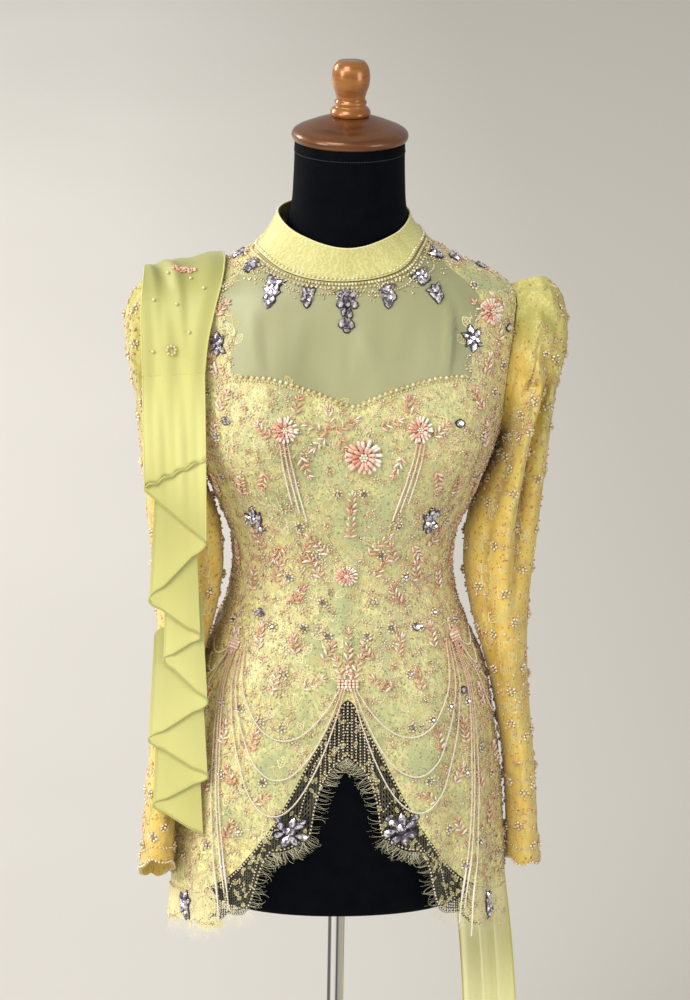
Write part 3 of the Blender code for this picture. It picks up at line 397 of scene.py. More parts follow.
class Gridded(Surface):
    """A surface read from a fine grid of its own points, which is much faster."""

    def __init__(self, place, p, q):
        self.start, self.steps = (p[0], q[0]), (p[1] - p[0], q[1] - q[0])
        points = place(*np.meshgrid(p, q))
        across = np.gradient(points, self.steps[0], axis=1)
        up = np.gradient(points, self.steps[1], axis=0)
        self.cells = np.concatenate([points, across, up], axis=-1)

    def read(self, p, q):
        rows, columns = self.cells.shape[:2]
        x = np.clip((p - self.start[0]) / self.steps[0], 0, columns - 1.001)
        y = np.clip((q - self.start[1]) / self.steps[1], 0, rows - 1.001)
        i, j = x.astype(int), y.astype(int)
        x, y = (x - i)[..., None], (y - j)[..., None]
        cells = self.cells
        low = lerp(cells[j, i], cells[j, i + 1], x)
        return lerp(low, lerp(cells[j + 1, i], cells[j + 1, i + 1], x), y)

    def place(self, p, q):
        return self.read(*np.broadcast_arrays(np.asarray(p, float), q))[..., :3]

    def slopes(self, p, q):
        values = self.read(*np.broadcast_arrays(np.asarray(p, float), q))
        return values[..., 3:6], values[..., 6:9]


BLOUSE = Gridded(cloth, np.arange(-190.0, 280.5, 0.5), np.arange(0.56, 1.336, 0.002))


# ---------------------------------------------------------------- collar, sleeves, shawl
COLLAR = Table(
    ("angle", "half_width", "depth", "height"),
    (
        (0, 0.0672, 0.0665, 1.3325),
        (45, 0.0672, 0.0665, 1.342),
        (90, 0.0672, 0.0665, 1.354),
        (135, 0.0672, 0.0665, 1.356),
        (180, 0.0672, 0.067, 1.356),
    ),
)
COLLAR_WALL, COLLAR_LIFT, COLLAR_SHIFT = 0.0018, 0.0006, -0.005


def collar_place(angle, v):
    foot = BLOUSE.frame(angle, NECK_SIDE + np.zeros_like(angle), WALL)[0]
    foot = foot + np.array([0, 0, COLLAR_LIFT])
    s, c = np.sin(np.radians(angle)), np.cos(np.radians(angle))
    half_width, depth, height = (COLLAR.at(k, np.abs(angle)) for k in COLLAR.columns[1:])
    rim = xyz(half_width * s + COLLAR_SHIFT, -depth * c, height)
    ripple = 0.0005 * np.sin(np.radians(angle * 9)) + 0.0004 * np.sin(np.radians(angle * 23 + 40))
    bow = (0.0022 + ripple) * np.sin(np.pi * v)
    v = np.asarray(v)[..., None]
    return lerp(foot, rim, v) - xyz(s, -c, 0.0) * bow[..., None]


COLLAR_FACE = Surface(collar_place, 1.0, 0.03)

SLEEVE = Table(
    ("row", "inner_x", "inner_z", "outer_x", "outer_z", "depth", "shift"),
    (
        (0, 0.1652, 1.1235, 0.18, 1.279, 0.037, 0),
        (1, 0.1652, 1.1215, 0.19, 1.2835, 0.048, 0),
        (2, 0.1648, 1.119, 0.202, 1.283, 0.056, 0),
        (3, 0.1643, 1.116, 0.214, 1.274, 0.059, 0),
        (4, 0.1632, 1.112, 0.224, 1.258, 0.06, 0),
        (5, 0.1612, 1.106, 0.229, 1.235, 0.06, 0),
        (6, 0.1583, 1.098, 0.2275, 1.208, 0.0585, 0),
        (7, 0.153, 1.087, 0.221, 1.175, 0.056, 0),
        (8, 0.1475, 1.073, 0.2165, 1.138, 0.054, -0.001),
        (9, 0.139, 1.05, 0.213, 1.096, 0.052, -0.002),
        (10, 0.13, 1.02, 0.2085, 1.048, 0.05, -0.003),
        (11, 0.128, 0.985, 0.2045, 1, 0.0475, -0.004),
        (12, 0.134, 0.942, 0.2, 0.95, 0.045, -0.005),
        (13, 0.146, 0.898, 0.1985, 0.9, 0.042, -0.006),
        (14, 0.16, 0.85, 0.201, 0.85, 0.039, -0.007),
        (15, 0.1705, 0.8, 0.206, 0.8, 0.037, -0.008),
        (16, 0.1785, 0.745, 0.212, 0.745, 0.035, -0.009),
        (17, 0.1825, 0.695, 0.216, 0.695, 0.034, -0.01),
        (18, 0.1845, 0.648, 0.2195, 0.645, 0.035, -0.01),
    ),
)
SLEEVE_ROWS = 18
SLEEVE_FOLDS = (
    {"turn": 62, "depth": 0.024, "width": 15, "from_row": 2.2, "to_row": 12.5},
    {"turn": 118, "depth": 0.006, "width": 16, "from_row": 4.0, "to_row": 15.0},
    {"turn": 262, "depth": 0.016, "width": 17, "from_row": 2.5, "to_row": 13.0},
    {"turn": 322, "depth": 0.006, "width": 15, "from_row": 5.0, "to_row": 16.0},
)
GATHERS = 13
GATHER_DEPTH = 0.0034
CUFF_SLANT = {"left": 0.002, "right": 0.022}
CUFF_SCALLOP, CUFF_SCALLOPS = 0.005, 5
HAND_SHIFT = {"left": (-0.003, 0.0, 0.0), "right": (-0.006, -0.03, 0.0)}
SIDES = {"left": 1, "right": -1}
# Painted shadow: FOLD_SHADE browns the lace deep in the sleeve's big folds.
FOLD_SHADE = 28.0  # how much browner the lace is in a fold a metre deep
SLEEVE_CREASES = (
    # from_turn, from_row, to_turn, to_row, width, depth
    (112, 1.8, 68, 6.4, 0.006, -0.007),
    (134, 2.4, 86, 8.4, 0.0065, 0.003),
    (94, 7.2, 78, 12.6, 0.0065, 0.0026),
    (152, 3, 108, 8.8, 0.005, -0.0022),
    (0, 1.6, 44, 3.4, 0.005, 0.0034),
    (16, 3.4, 58, 4.4, 0.005, -0.0034),
    (30, 1.2, 96, 2.2, 0.005, 0.003),
    (60, 2.4, 104, 3.2, 0.0045, -0.003),
    (130, 1, 70, 1.6, 0.0045, -0.0026),
    (20, 4.6, 50, 6.6, 0.005, 0.0024),
    (20, 9, 60, 10.2, 0.004, -0.0012),
    (15, 10.4, 70, 11.3, 0.004, -0.0015),
    (35, 12, 100, 11.2, 0.0045, -0.0013),
    (80, 9.4, 150, 10.4, 0.0045, 0.0012),
    (90, 12.6, 160, 11.8, 0.005, -0.0013),
    (30, 14.2, 100, 13.4, 0.005, -0.0011),
    (70, 15.6, 140, 15, 0.005, 0.001),
    (85, 4.5, 96, 9, 0.006, 0.0012),
    (38, 3, 44, 8, 0.006, 0.0014),
    (100, 14, 94, 17, 0.007, -0.0012),
    (200, 10, 250, 11.2, 0.0045, -0.0013),
    (230, 12.4, 300, 11.6, 0.0045, -0.0013),
    (250, 14.2, 310, 13.6, 0.005, 0.0011),
    (285, 4, 292, 9, 0.006, 0.0013),
    (200, 5, 212, 9.5, 0.006, 0.001),
)


def sleeve_fold(fold, turn, row, narrow=1.0):
    """How deep into a fold of the sleeve a place lies, from 0 to 1."""
    along = np.clip((row - fold["from_row"]) / (fold["to_row"] - fold["from_row"]), 0, 1)
    away = wrapped(turn - fold["turn"])
    return np.sin(np.pi * along) * bell(away, fold["width"] * narrow)


def sleeve_relief(turn, row):
    turned = turn % 360
    total = np.zeros(np.broadcast(turn, row).shape)
    for *ends, width, depth in SLEEVE_CREASES:
        total += depth * near_line(turned, row, ends, (0.0009, 0.035), width)
    return total


def armhole(turn):
    """The armhole's line on the left side, by the same turn as the sleeve's sections."""
    height = lerp(ARMPIT, SHOULDER_TIP, (1 + np.cos(np.radians(turn))) / 2)
    lean = np.sin(np.radians(turn)) * ARMHOLE_HALF_ANGLE
    return BLOUSE.frame(90 - lean, height, WALL + 0.0002)[0]


def sleeve_point(turn, row, side):
    """The left sleeve's inner face, before it is mirrored for the right."""
    turn, row = np.broadcast_arrays(np.asarray(turn, float), np.asarray(row, float))
    ix, iz, ox, oz, depth, shift = (SLEEVE.at(k, row) for k in SLEEVE.columns[1:])
    c, s = np.cos(np.radians(turn)), np.sin(np.radians(turn))
    pull = -sleeve_relief(turn, row)
    for fold in SLEEVE_FOLDS:
        pull += fold["depth"] * sleeve_fold(fold, turn, row)
    head = smooth(row / 1.5) * (1 - smooth((row - 3.5) / 3.5)) * smooth((c + 0.75) / 0.8)
    fine = 0.3 * np.cos(np.radians(31 * turn + 60 * np.sin(row)))
    pull -= GATHER_DEPTH * head * (np.cos(np.radians(GATHERS * turn)) + fine)
    middle = xyz((ix + ox) / 2, shift, (iz + oz) / 2)
    reach = xyz((ox - ix) / 2, 0.0, (oz - iz) / 2)
    round_out = reach * c[..., None] + xyz(0.0, -depth * s, 0.0)
    scale = np.maximum(0.1, 1 - pull / np.linalg.norm(round_out, axis=-1))
    place = middle + round_out * scale[..., None]
    lobe = np.abs(np.sin(np.radians(turn * CUFF_SCALLOPS / 2)))
    place[..., 2] += smooth((row - 15.5) / 2.5) * CUFF_SLANT[side] * s
    place[..., 2] -= smooth(row - 17) * CUFF_SCALLOP * (lobe - 0.5)
    along = smooth((row - 7) / (SLEEVE_ROWS - 7))
    place = place + along[..., None] * np.array(HAND_SHIFT[side])
    start = armhole(turn) + np.array([0.0006, 0, 0])
    return lerp(start, place, smooth(row / 2.2)[..., None])


def sleeve_surface(side):
    """p is the turn, with the side's sign, and q the row, so q runs down."""
    sign = SIDES[side]
    mirror = np.array([sign, 1, 1])
    turn = np.arange(-30.0, 391.0, 1.0)[::sign] * sign
    row = np.linspace(0, SLEEVE_ROWS, 361)
    return Gridded(lambda p, q: sleeve_point(p * sign, q, side) * mirror, turn, row)


SLEEVES = {side: sleeve_surface(side) for side in SIDES}

SHOULDER_BAND = Table(
    ("station", "near_x", "near_y", "near_z", "far_x", "far_y", "far_z"),
    (
        (0, -0.15, -0.08, 1.205, -0.2125, -0.076, 1.2),
        (1, -0.147, -0.075, 1.235, -0.2135, -0.071, 1.228),
        (2, -0.141, -0.067, 1.264, -0.214, -0.06, 1.256),
        (3, -0.134, -0.054, 1.2895, -0.213, -0.045, 1.2775),
        (4, -0.1295, -0.031, 1.3035, -0.211, -0.022, 1.29),
        (5, -0.1275, 0, 1.309, -0.2095, 0, 1.295),
        (6, -0.1275, 0.034, 1.306, -0.208, 0.026, 1.291),
        (7, -0.1255, 0.067, 1.294, -0.205, 0.049, 1.279),
        (8, -0.119, 0.089, 1.27, -0.198, 0.068, 1.257),
        (9, -0.108, 0.101, 1.236, -0.187, 0.082, 1.224),
    ),
)
BAND_PLEATS, BAND_PLEAT_DEPTH = 2.5, 0.0016
BACK_BAND = Table(
    ("station", "near_height", "near_angle", "far_height", "far_angle", "near_out", "far_out"),
    (
        (0, 1.232, -143, 1.205, -113, 0.012, 0.024),
        (1, 1.165, -156, 1.13, -119, 0.009, 0.02),
        (2, 1.095, -172, 1.045, -137, 0.0062, 0.012),
        (3, 1.02, -191, 0.96, -160, 0.0062, 0.0062),
        (4, 0.945, -212, 0.885, -184, 0.0062, 0.0062),
        (5, 0.87, -232, 0.825, -206, 0.0062, 0.0062),
        (6, 0.8, -245, 0.78, -217, 0.007, 0.007),
    ),
)
TAIL = Table(
    ("station", "near_x", "near_y", "near_z", "far_x", "far_y", "far_z"),
    (
        (0, 0.166, 0.08, 0.795, 0.106, 0.134, 0.775),
        (1, 0.178, 0.084, 0.7, 0.118, 0.14, 0.7),
        (2, 0.192, 0.087, 0.6, 0.133, 0.143, 0.6),
        (3, 0.206, 0.088, 0.48, 0.148, 0.14, 0.48),
        (4, 0.214, 0.087, 0.36, 0.155, 0.136, 0.365),
        (5, 0.218, 0.085, 0.24, 0.157, 0.133, 0.262),
    ),
)
CASCADE = Table(
    ("turn", "x", "edge_z"),
    (
        (0, -0.211, 1.087),
        (1, -0.148, 1.033),
        (2, -0.206, 0.969),
        (3, -0.153, 0.928),
        (4, -0.191, 0.903),
        (5, -0.145, 0.854),
        (6, -0.206, 0.812),
        (7, -0.144, 0.769),
        (8, -0.201, 0.737),
        (9, -0.148, 0.7),
    ),
)
CASCADE_FRONT, CASCADE_GAP, CASCADE_STEP = -0.106, 0.0007, 0.0027
CASCADE_MIDDLE = -0.178
SHOULDER_FOLD = 0.0045
CASCADE_BEND = 0.25
FRONT_FOLD, FRONT_FOLD_LINE = 0.0024, ((-0.211, 1.0905), (-0.144, 1.121))
CASCADE_DROP = 0.115


def band_place(table, u, v, pleats, depth, phase=0.0):
    """A pleated band of cloth between two lines of stations."""
    last = table.rows[-1][0]
    key = v * last
    near, far = (
        xyz(*(table.at(end + axis, key) for axis in "xyz")) for end in ("near_", "far_")
    )
    ahead = np.minimum(key + 0.05, last)
    run = xyz(*(table.at("near_" + a, ahead) - table.at("near_" + a, ahead - 0.1) for a in "xyz"))
    out = unit(np.cross(far - near, run))
    wave = np.cos(2 * np.pi * pleats * u + phase)
    wave = wave * (0.75 + 0.25 * np.sin(4 * v + 3 * u)) + 0.12 * np.cos(9 * pleats * u + 3 * v)
    return lerp(near, far, np.asarray(u)[..., None]) + out * np.asarray(depth * wave)[..., None]


def shoulder_place(u, v):
    place = band_place(SHOULDER_BAND, u, v, BAND_PLEATS, BAND_PLEAT_DEPTH)
    fold = bell(u - 0.28 - 0.75 * v, 0.07) - 0.6 * bell(u - 0.42 - 0.75 * v, 0.09)
    fold += 0.7 * bell(u - 0.7 - 0.4 * v, 0.06)
    lift = SHOULDER_FOLD * fold * np.sin(np.pi * np.clip(v, 0, 1)) * np.sin(np.pi * np.clip(u, 0, 1)) ** 0.5
    place[..., 1] -= lift * np.cos(np.pi * np.clip(v, 0, 1))
    place[..., 2] += lift * np.sin(np.pi * np.clip(v, 0, 1))
    return place


def back_place(u, v):
    key = v * BACK_BAND.rows[-1][0]
    near_height, near_angle, far_height, far_angle, near_out, far_out = (
        BACK_BAND.at(name, key) for name in BACK_BAND.columns[1:]
    )
    out = lerp(near_out, far_out, u) + BAND_PLEAT_DEPTH * np.cos(2 * np.pi * BAND_PLEATS * u)
    angle, height = lerp(near_angle, far_angle, u), lerp(near_height, far_height, u)
    place = bare_surface.frame(angle, height, out)[0]
    start = shoulder_place(u, np.ones_like(v))
    return lerp(start, place, np.minimum(1.0, v / 0.16)[..., None])


def tail_place(u, v):
    start = back_place(u, np.ones_like(v))
    band = band_place(TAIL, u, v, 3.5, 0.0048, 0.6)
    return lerp(start, band, np.minimum(1.0, v / 0.16)[..., None])


def front_y(z):
    return lerp(CASCADE_FRONT, SHOULDER_BAND.rows[0][2], smooth((z - 1.03) / 0.175))


def front_fall_place(u, v):
    x, low = (lerp(CASCADE.rows[0][k], CASCADE.rows[1][k], u) for k in (1, 2))
    top = shoulder_place(1 - u, np.zeros_like(v))
    z = lerp(low, top[..., 2], v)
    wave = 0.0013 * np.sin(np.pi * v) * np.cos(5 * np.pi * u)
    wave += 0.0004 * np.sin(np.pi * v) * np.cos(11 * np.pi * u + 2 * v)
    far = top[..., 1] - SHOULDER_BAND.rows[0][2]
    y = front_y(z) + far * v - 0.0025 * np.sin(np.pi * v) + wave
    x = lerp(x, top[..., 0], v)
    step = smooth((z - front_fold_z(x)) / 0.003) * smooth((1 - v) / 0.6)
    return xyz(x, y - FRONT_FOLD * step, z)


def front_fold_z(x):
    """The height of the fold that crosses the shawl's front layer."""
    (x0, z0), (x1, z1) = FRONT_FOLD_LINE
    return lerp(z0, z1, (x - x0) / (x1 - x0)) + 0.0015 * np.sin(420 * x)


def cascade_place(u, v):
    """The folded layers behind the front one, one sheet that turns back at every fold."""
    folds = len(CASCADE.rows) - 1
    turn = 1.0 + (folds - 1) * u
    step = np.minimum(np.floor(turn), folds - 1).astype(int)
    share = turn - step
    start, end = np.minimum(1.0, share / CASCADE_BEND), np.minimum(1.0, (1 - share) / CASCADE_BEND)
    across = share * start + (1 - share) * (1 - end)
    x = lerp(CASCADE.rows[step, 1], CASCADE.rows[step + 1, 1], across)
    low = lerp(CASCADE.rows[step, 2], CASCADE.rows[step + 1, 2], share)
    z = lerp(low, low + CASCADE_DROP, v)
    x = lerp(x, CASCADE_MIDDLE, 0.2 * v)
    layer = step - 0.5 + (np.cos(np.pi * end / 2) - np.cos(np.pi * start / 2)) / 2
    flare = 0.0008 * (1 - v) ** 2 * np.sin(np.pi * share) ** 2
    return xyz(x, front_y(z) + CASCADE_GAP + CASCADE_STEP * layer - flare, z)


bare_surface = Surface(bare_cloth, 0.5, 0.001)


# ---------------------------------------------------------------- materials
class Look:
    """A material whose Principled BSDF is fed by a few procedural nodes."""

    def __init__(self, name, color, roughness, **sockets):
        self.material = bpy.data.materials.new(name)
        self.material.use_nodes = True
        self.tree = self.material.node_tree
        self.shader = self.tree.nodes["Principled BSDF"]
        self.shader.inputs["Base Color"].default_value = (*color, 1.0)
        self.shader.inputs["Roughness"].default_value = roughness
        for name, value in sockets.items():
            self.shader.inputs[name.replace("_", " ")].default_value = value
        self.height = None

    def feed(self, socket, value):
        """Links a socket to a value that comes out of a node, or else sets it."""
        if isinstance(value, bpy.types.NodeSocket):
            self.tree.links.new(value, socket)
        else:
            socket.default_value = value

    def node(self, kind, inputs=None, **settings):
        node = self.tree.nodes.new("ShaderNode" + kind)
        for name, value in settings.items():
            setattr(node, name, value)
        for name, value in (inputs or {}).items():
            self.feed(node.inputs[name], value)
        return node

    def place(self, kind="Object"):
        if kind == "UV":
            return self.node("UVMap", uv_map="cut").outputs["UV"]
        return self.node("TexCoord").outputs[kind]

    def noise(self, scale, detail=3.0, place="Object", stretch=None):
        at = self.place(place)
        if stretch:
            at = self.node("Mapping", {"Vector": at, "Scale": stretch}).outputs["Vector"]
        node = self.node("TexNoise", {"Vector": at, "Scale": scale, "Detail": detail})
        return node.outputs["Fac"]

    def ramp(self, factor, stops):
        node = self.node("ValToRGB", {"Fac": factor})
        band = node.color_ramp
        while len(band.elements) < len(stops):
            band.elements.new(0.5)
        for element, (at, color) in zip(band.elements, stops):
            element.position = at
            element.color = (*color, 1.0)
        return node.outputs["Color"]

    def step(self, factor, low, high, top=1.0, foot=0.0):
        """Goes from foot to top as the factor goes from low to high."""
        return self.ramp(factor, ((low, (foot,) * 3), (high, (top,) * 3)))

    def mix(self, factor, a, b, blend="MIX"):
        node = self.node("Mix", data_type="RGBA", blend_type=blend)
        for index, value in ((0, factor), (6, a), (7, b)):
            self.feed(node.inputs[index], (*value, 1.0) if isinstance(value, tuple) else value)
        return node.outputs[2]

    def maths(self, operation, *values):
        node = self.node("Math", operation=operation)
        for socket, value in zip(node.inputs, values):
            self.feed(socket, value)
        return node.outputs[0]

    def scaled(self, socket, times, plus):
        return self.maths("ADD", self.maths("MULTIPLY", socket, times), plus)

    def tint(self):
        return self.node("Attribute", attribute_name="tint").outputs["Fac"]

    def color(self, socket):
        self.feed(self.shader.inputs["Base Color"], socket)

    def roughness(self, socket):
        self.feed(self.shader.inputs["Roughness"], socket)

    def bump(self, socket, distance, strength=1.0):
        """A bump of that depth in metres. Later ones are laid on the ones before."""
        inputs = {"Height": socket, "Distance": distance, "Strength": strength}
        if self.height:
            inputs["Normal"] = self.height
        self.height = self.node("Bump", inputs).outputs["Normal"]
        self.feed(self.shader.inputs["Normal"], self.height)

    def weave(self, threads):
        """A plain weave with that many threads to a metre, along the cut of the cloth."""
        inputs = {"Vector": self.place("UV"), "Scale": threads / 20.0, "Distortion": 0.6, "Detail": 1.0}
        waves = [self.node("TexWave", inputs, bands_direction=way).outputs["Fac"] for way in "XY"]
        return self.maths("MULTIPLY", *waves)


SAGE, SAGE_LIGHT, SAGE_DARK = (0.375, 0.38, 0.2), (0.45, 0.46, 0.26), (0.31, 0.32, 0.165)
LACE_YELLOW, LACE_GOLD, LACE_BLUSH = (0.98, 0.92, 0.42), (0.9, 0.8, 0.32), (0.74, 0.47, 0.32)


def satin_look(name, lace):
    """Sage satin, its random tone drawn into lighter and darker vertical streaks that paint the sheen and
    shade of soft folds. With lace over it, fine net and yellow threads show between the motifs.
    """
    look = Look(name, SAGE, 0.42, Sheen_Weight=0.2, Sheen_Roughness=0.4, Anisotropic=0.3)
    # Painted sheen and shade: random tone drawn out into up-and-down streaks, as on soft vertical folds.
    painted_fold_streaks = look.noise(5.0, 2.0, stretch=(2.6, 2.6, 0.6))
    satin = look.ramp(painted_fold_streaks, ((0.3, SAGE_DARK), (0.5, SAGE), (0.72, SAGE_LIGHT)))
    if lace:
        threads = look.noise(330.0, 4.0, stretch=(1.0, 1.0, 0.55))
        patches = look.noise(26.0, 4.0)
        share = look.maths("MULTIPLY", look.tint(), 0.75)
        share = look.maths("ADD", share, look.maths("MULTIPLY", patches, 1.9))
        share = look.maths("SUBTRACT", share, 0.8)
        thread = look.maths("ADD", look.step(threads, 0.43, 0.54), 0.25)
        share = look.node("Clamp", {"Value": look.maths("MULTIPLY", share, thread)}).outputs[0]
        gold = look.mix(look.noise(9.0, 2.0), LACE_GOLD, LACE_YELLOW)
        gold = look.mix(look.step(look.noise(60.0, 3.0), 0.52, 0.7, 0.6), gold, LACE_BLUSH)
        green = look.ramp(painted_fold_streaks, ((0.3, (0.4, 0.43, 0.2)), (0.7, (0.56, 0.6, 0.32))))
        satin = look.mix(share, green, gold)
        # Painted shade: small dark brown spots in the gaps between the lace's threads.
        satin = look.mix(look.step(look.noise(470.0, 3.0), 0.57, 0.66, 0.75), satin, (0.16, 0.125, 0.06))
        look.bump(threads, 0.0006, 0.8)
        look.bump(patches, 0.0012, 0.4)
    look.color(satin)
    look.bump(look.weave(5200.0), 0.00006, 0.35)
    return look.material


def gold_look():
    """The sleeves: a dense fine lace over gold lining, greener where the tint is high, gold lower and brown
    where it is lowest. Through the tint this paints light and shade, greener where lit and gold in shade,
    with brown painted shadow deep in the folds; the lower sleeve is gold in its own colour too.
    """
    look = Look("sleeve_lace", LACE_GOLD, 0.6, Sheen_Weight=0.2, Sheen_Roughness=0.5)
    threads = look.noise(520.0, 4.0, stretch=(1.0, 1.0, 0.5))
    ground = look.noise(14.0, 3.0)
    gold = look.ramp(ground, ((0.3, (0.66, 0.43, 0.075)), (0.7, (0.92, 0.68, 0.16))))
    green = look.ramp(ground, ((0.3, (0.45, 0.41, 0.1)), (0.7, (0.6, 0.55, 0.17))))
    color = look.mix(look.step(look.tint(), 0.3, 1.0), gold, green)
    # Painted shadow: brown where the tint is lowest, deep in the sleeve's folds.
    color = look.mix(look.step(look.tint(), 0.0, 0.3, 0.0, 1.0), color, (0.3, 0.16, 0.03))
    figure = look.step(look.noise(110.0, 5.0, stretch=(1.0, 1.0, 0.4)), 0.46, 0.58)
    share = look.maths("MULTIPLY", look.step(threads, 0.42, 0.58, 0.8), figure)
    color = look.mix(look.maths("MULTIPLY", share, 0.6), color, (0.86, 0.79, 0.36))
    look.color(look.mix(look.step(look.noise(300.0, 2.0), 0.62, 0.68, 0.75), color, (0.24, 0.12, 0.03)))
    look.bump(threads, 0.0005, 0.7)
    look.bump(figure, 0.0004, 0.5)
    return look.material


def chiffon_look():
    """Crinkled chiffon, darker towards sage where the tint is low and pale yellow where it is highest. The
    tint paints shade in the cascade's folds and along the hems at the folds, and light on the tail.
    """
    look = Look("chiffon_cloth", (0.7, 0.67, 0.26), 0.55, Sheen_Weight=0.25, Sheen_Roughness=0.35)
    crinkle = look.noise(900.0, 2.0, "UV", (1.0, 0.35, 1.0))
    stops = ((0.25, (0.59, 0.57, 0.17)), (0.55, (0.69, 0.67, 0.225)), (0.8, (0.75, 0.74, 0.29)))
    color = look.ramp(look.noise(7.0, 2.0), stops)
    color = look.mix(look.maths("MULTIPLY", crinkle, 0.25), color, (0.82, 0.81, 0.4))
    # Where the tint is low this darkens the cloth: painted shade on the cascade and the hems.
    tint = look.ramp(look.tint(), ((0.0, (0.6, 0.62, 0.56)), (0.8, (1.0,) * 3)))
    color = look.mix(1.0, color, tint, "MULTIPLY")
    # Painted highlight: pale yellow where the tint is highest.
    look.color(look.mix(look.step(look.tint(), 0.85, 1.0), color, (1.0, 0.98, 0.52)))
    look.bump(crinkle, 0.00012, 0.5)
    look.bump(look.weave(4200.0), 0.00005, 0.3)
    return look.material


def collar_look():
    look = Look("collar_lace", (0.8, 0.74, 0.26), 0.5, Sheen_Weight=0.2)
    inputs = {"Vector": look.place("UV"), "Scale": 70.0, "Distortion": 12.0, "Detail": 3.0}
    curls = look.node("TexWave", {**inputs, "Detail Scale": 2.2}).outputs["Fac"]
    fine = look.noise(700.0, 3.0)
    figure = look.step(curls, 0.35, 0.62)
    ground = look.mix(fine, (0.54, 0.52, 0.18), (0.66, 0.62, 0.23))
    look.color(look.mix(figure, ground, (0.7, 0.67, 0.28)))
    look.bump(figure, 0.0002, 0.5)
    look.bump(fine, 0.00025, 0.5)
    return look.material


def thread_look(name, dark, light, roughness=0.55):
    """Embroidery thread, lighter where the tint is high."""
    look = Look(name, light, roughness, Sheen_Weight=0.25)
    mixed = look.maths("ADD", look.tint(), look.maths("MULTIPLY", look.noise(300.0), 0.4))
    look.color(look.ramp(mixed, ((0.15, dark), (1.0, light))))
    look.bump(look.noise(2500.0, 2.0), 0.0001, 0.5)
    return look.material


def bead_look(name, stops, roughness, metallic=0.0, coat=0.5, glints=False):
    """Glass, pearl or metal beads. Each bead's tint picks its colour, and glints, painted reflections in dark
    and white patches, break it up.
    """
    look = Look(name, stops[0][1], roughness, Metallic=metallic, Coat_Weight=coat, Coat_Roughness=0.08)
    color = look.ramp(look.tint(), stops)
    if glints:
        painted_glint_cells = look.node("TexVoronoi", {"Vector": look.place(), "Scale": 420.0}).outputs["Color"]
        painted_glint_cells = look.node("RGBToBW", {"Color": painted_glint_cells}).outputs["Val"]
        # Painted reflections: dark purple patches and white glints over the stone.
        color = look.mix(look.step(painted_glint_cells, 0.4, 0.5, 0.0, 0.85), color, (0.1, 0.075, 0.14))
        color = look.mix(look.step(painted_glint_cells, 0.58, 0.66, 0.9), color, (0.97, 0.96, 1.0))
    look.color(color)
    look.roughness(look.scaled(look.noise(420.0, 2.0), 0.2, roughness - 0.1))
    look.bump(look.noise(1400.0, 2.0), 0.00008, 0.3)
    return look.material


def painted_look(name, dark, light, metallic, roughness):
    """Copper-coloured paint on turned wood, brushed round and worn thin here and there."""
    look = Look(name, light, roughness, Metallic=metallic, Coat_Weight=0.35)
    rings = look.noise(34.0, 4.0, stretch=(0.6, 0.6, 7.0))
    look.color(look.ramp(rings, ((0.3, dark), (0.65, light))))
    look.roughness(look.scaled(rings, 0.3, roughness - 0.15))
    look.bump(rings, 0.0004, 0.4)
    look.bump(look.noise(900.0, 3.0), 0.0001, 0.3)
    return look.material


def jersey_look():
    look = Look("black_jersey", (0.001, 0.002, 0.004), 0.75, Specular_IOR_Level=0.06)
    dark, light = (0.0004, 0.001, 0.0022), (0.0014, 0.0026, 0.0048)
    look.color(look.ramp(look.noise(60.0, 3.0), ((0.3, dark), (0.7, light))))
    look.bump(look.noise(1500.0, 2.0, stretch=(1, 1, 0.4)), 0.0002, 0.4)
    return look.material


# Painted reflections of the chrome: dark and light streaks by the way its face turns.
PAINTED_CHROME_REFLECTIONS = (
    (0.0, (0.1, 0.1, 0.1)),
    (0.14, (0.16, 0.16, 0.16)),
    (0.22, (0.92, 0.92, 0.92)),
    (0.44, (0.86, 0.86, 0.86)),
    (0.5, (0.12, 0.12, 0.12)),
    (0.57, (0.2, 0.2, 0.2)),
    (0.64, (0.62, 0.61, 0.59)),
    (0.9, (0.72, 0.71, 0.68)),
    (1.0, (0.3, 0.29, 0.28)),
)


def chrome_look():
    """Polished metal with a painted reflection of a studio: dark and light streaks by the way its face turns.
    """
    look = Look("chrome_metal", (0.78, 0.79, 0.8), 0.12, Metallic=1.0)
    look.roughness(look.scaled(look.noise(90.0, 4.0), 0.12, 0.06))
    across = look.node("SeparateXYZ", {"Vector": look.place("Normal")}).outputs["X"]
    look.color(look.ramp(look.maths("MULTIPLY_ADD", across, 0.5, 0.5), PAINTED_CHROME_REFLECTIONS))
    look.bump(look.noise(500.0, 2.0, stretch=(1, 1, 0.05)), 0.00004, 0.3)
    return look.material


def floor_look():
    """A pale floor with painted shade: a little darker towards the right of the picture."""
    look = Look("pale_floor", (0.64, 0.62, 0.59), 0.9)
    pale = look.ramp(look.noise(1.2, 2.0), ((0.3, (0.63, 0.61, 0.575)), (0.7, (0.65, 0.63, 0.595))))
    # Painted shade: the floor darkens along +X.
    across = look.node("SeparateXYZ", {"Vector": look.place()}).outputs["X"]
    across = look.node("MapRange", {"Value": across, "From Min": -0.15, "From Max": 0.85})
    look.color(look.mix(across.outputs["Result"], pale, (0.5, 0.48, 0.44)))
    return look.material


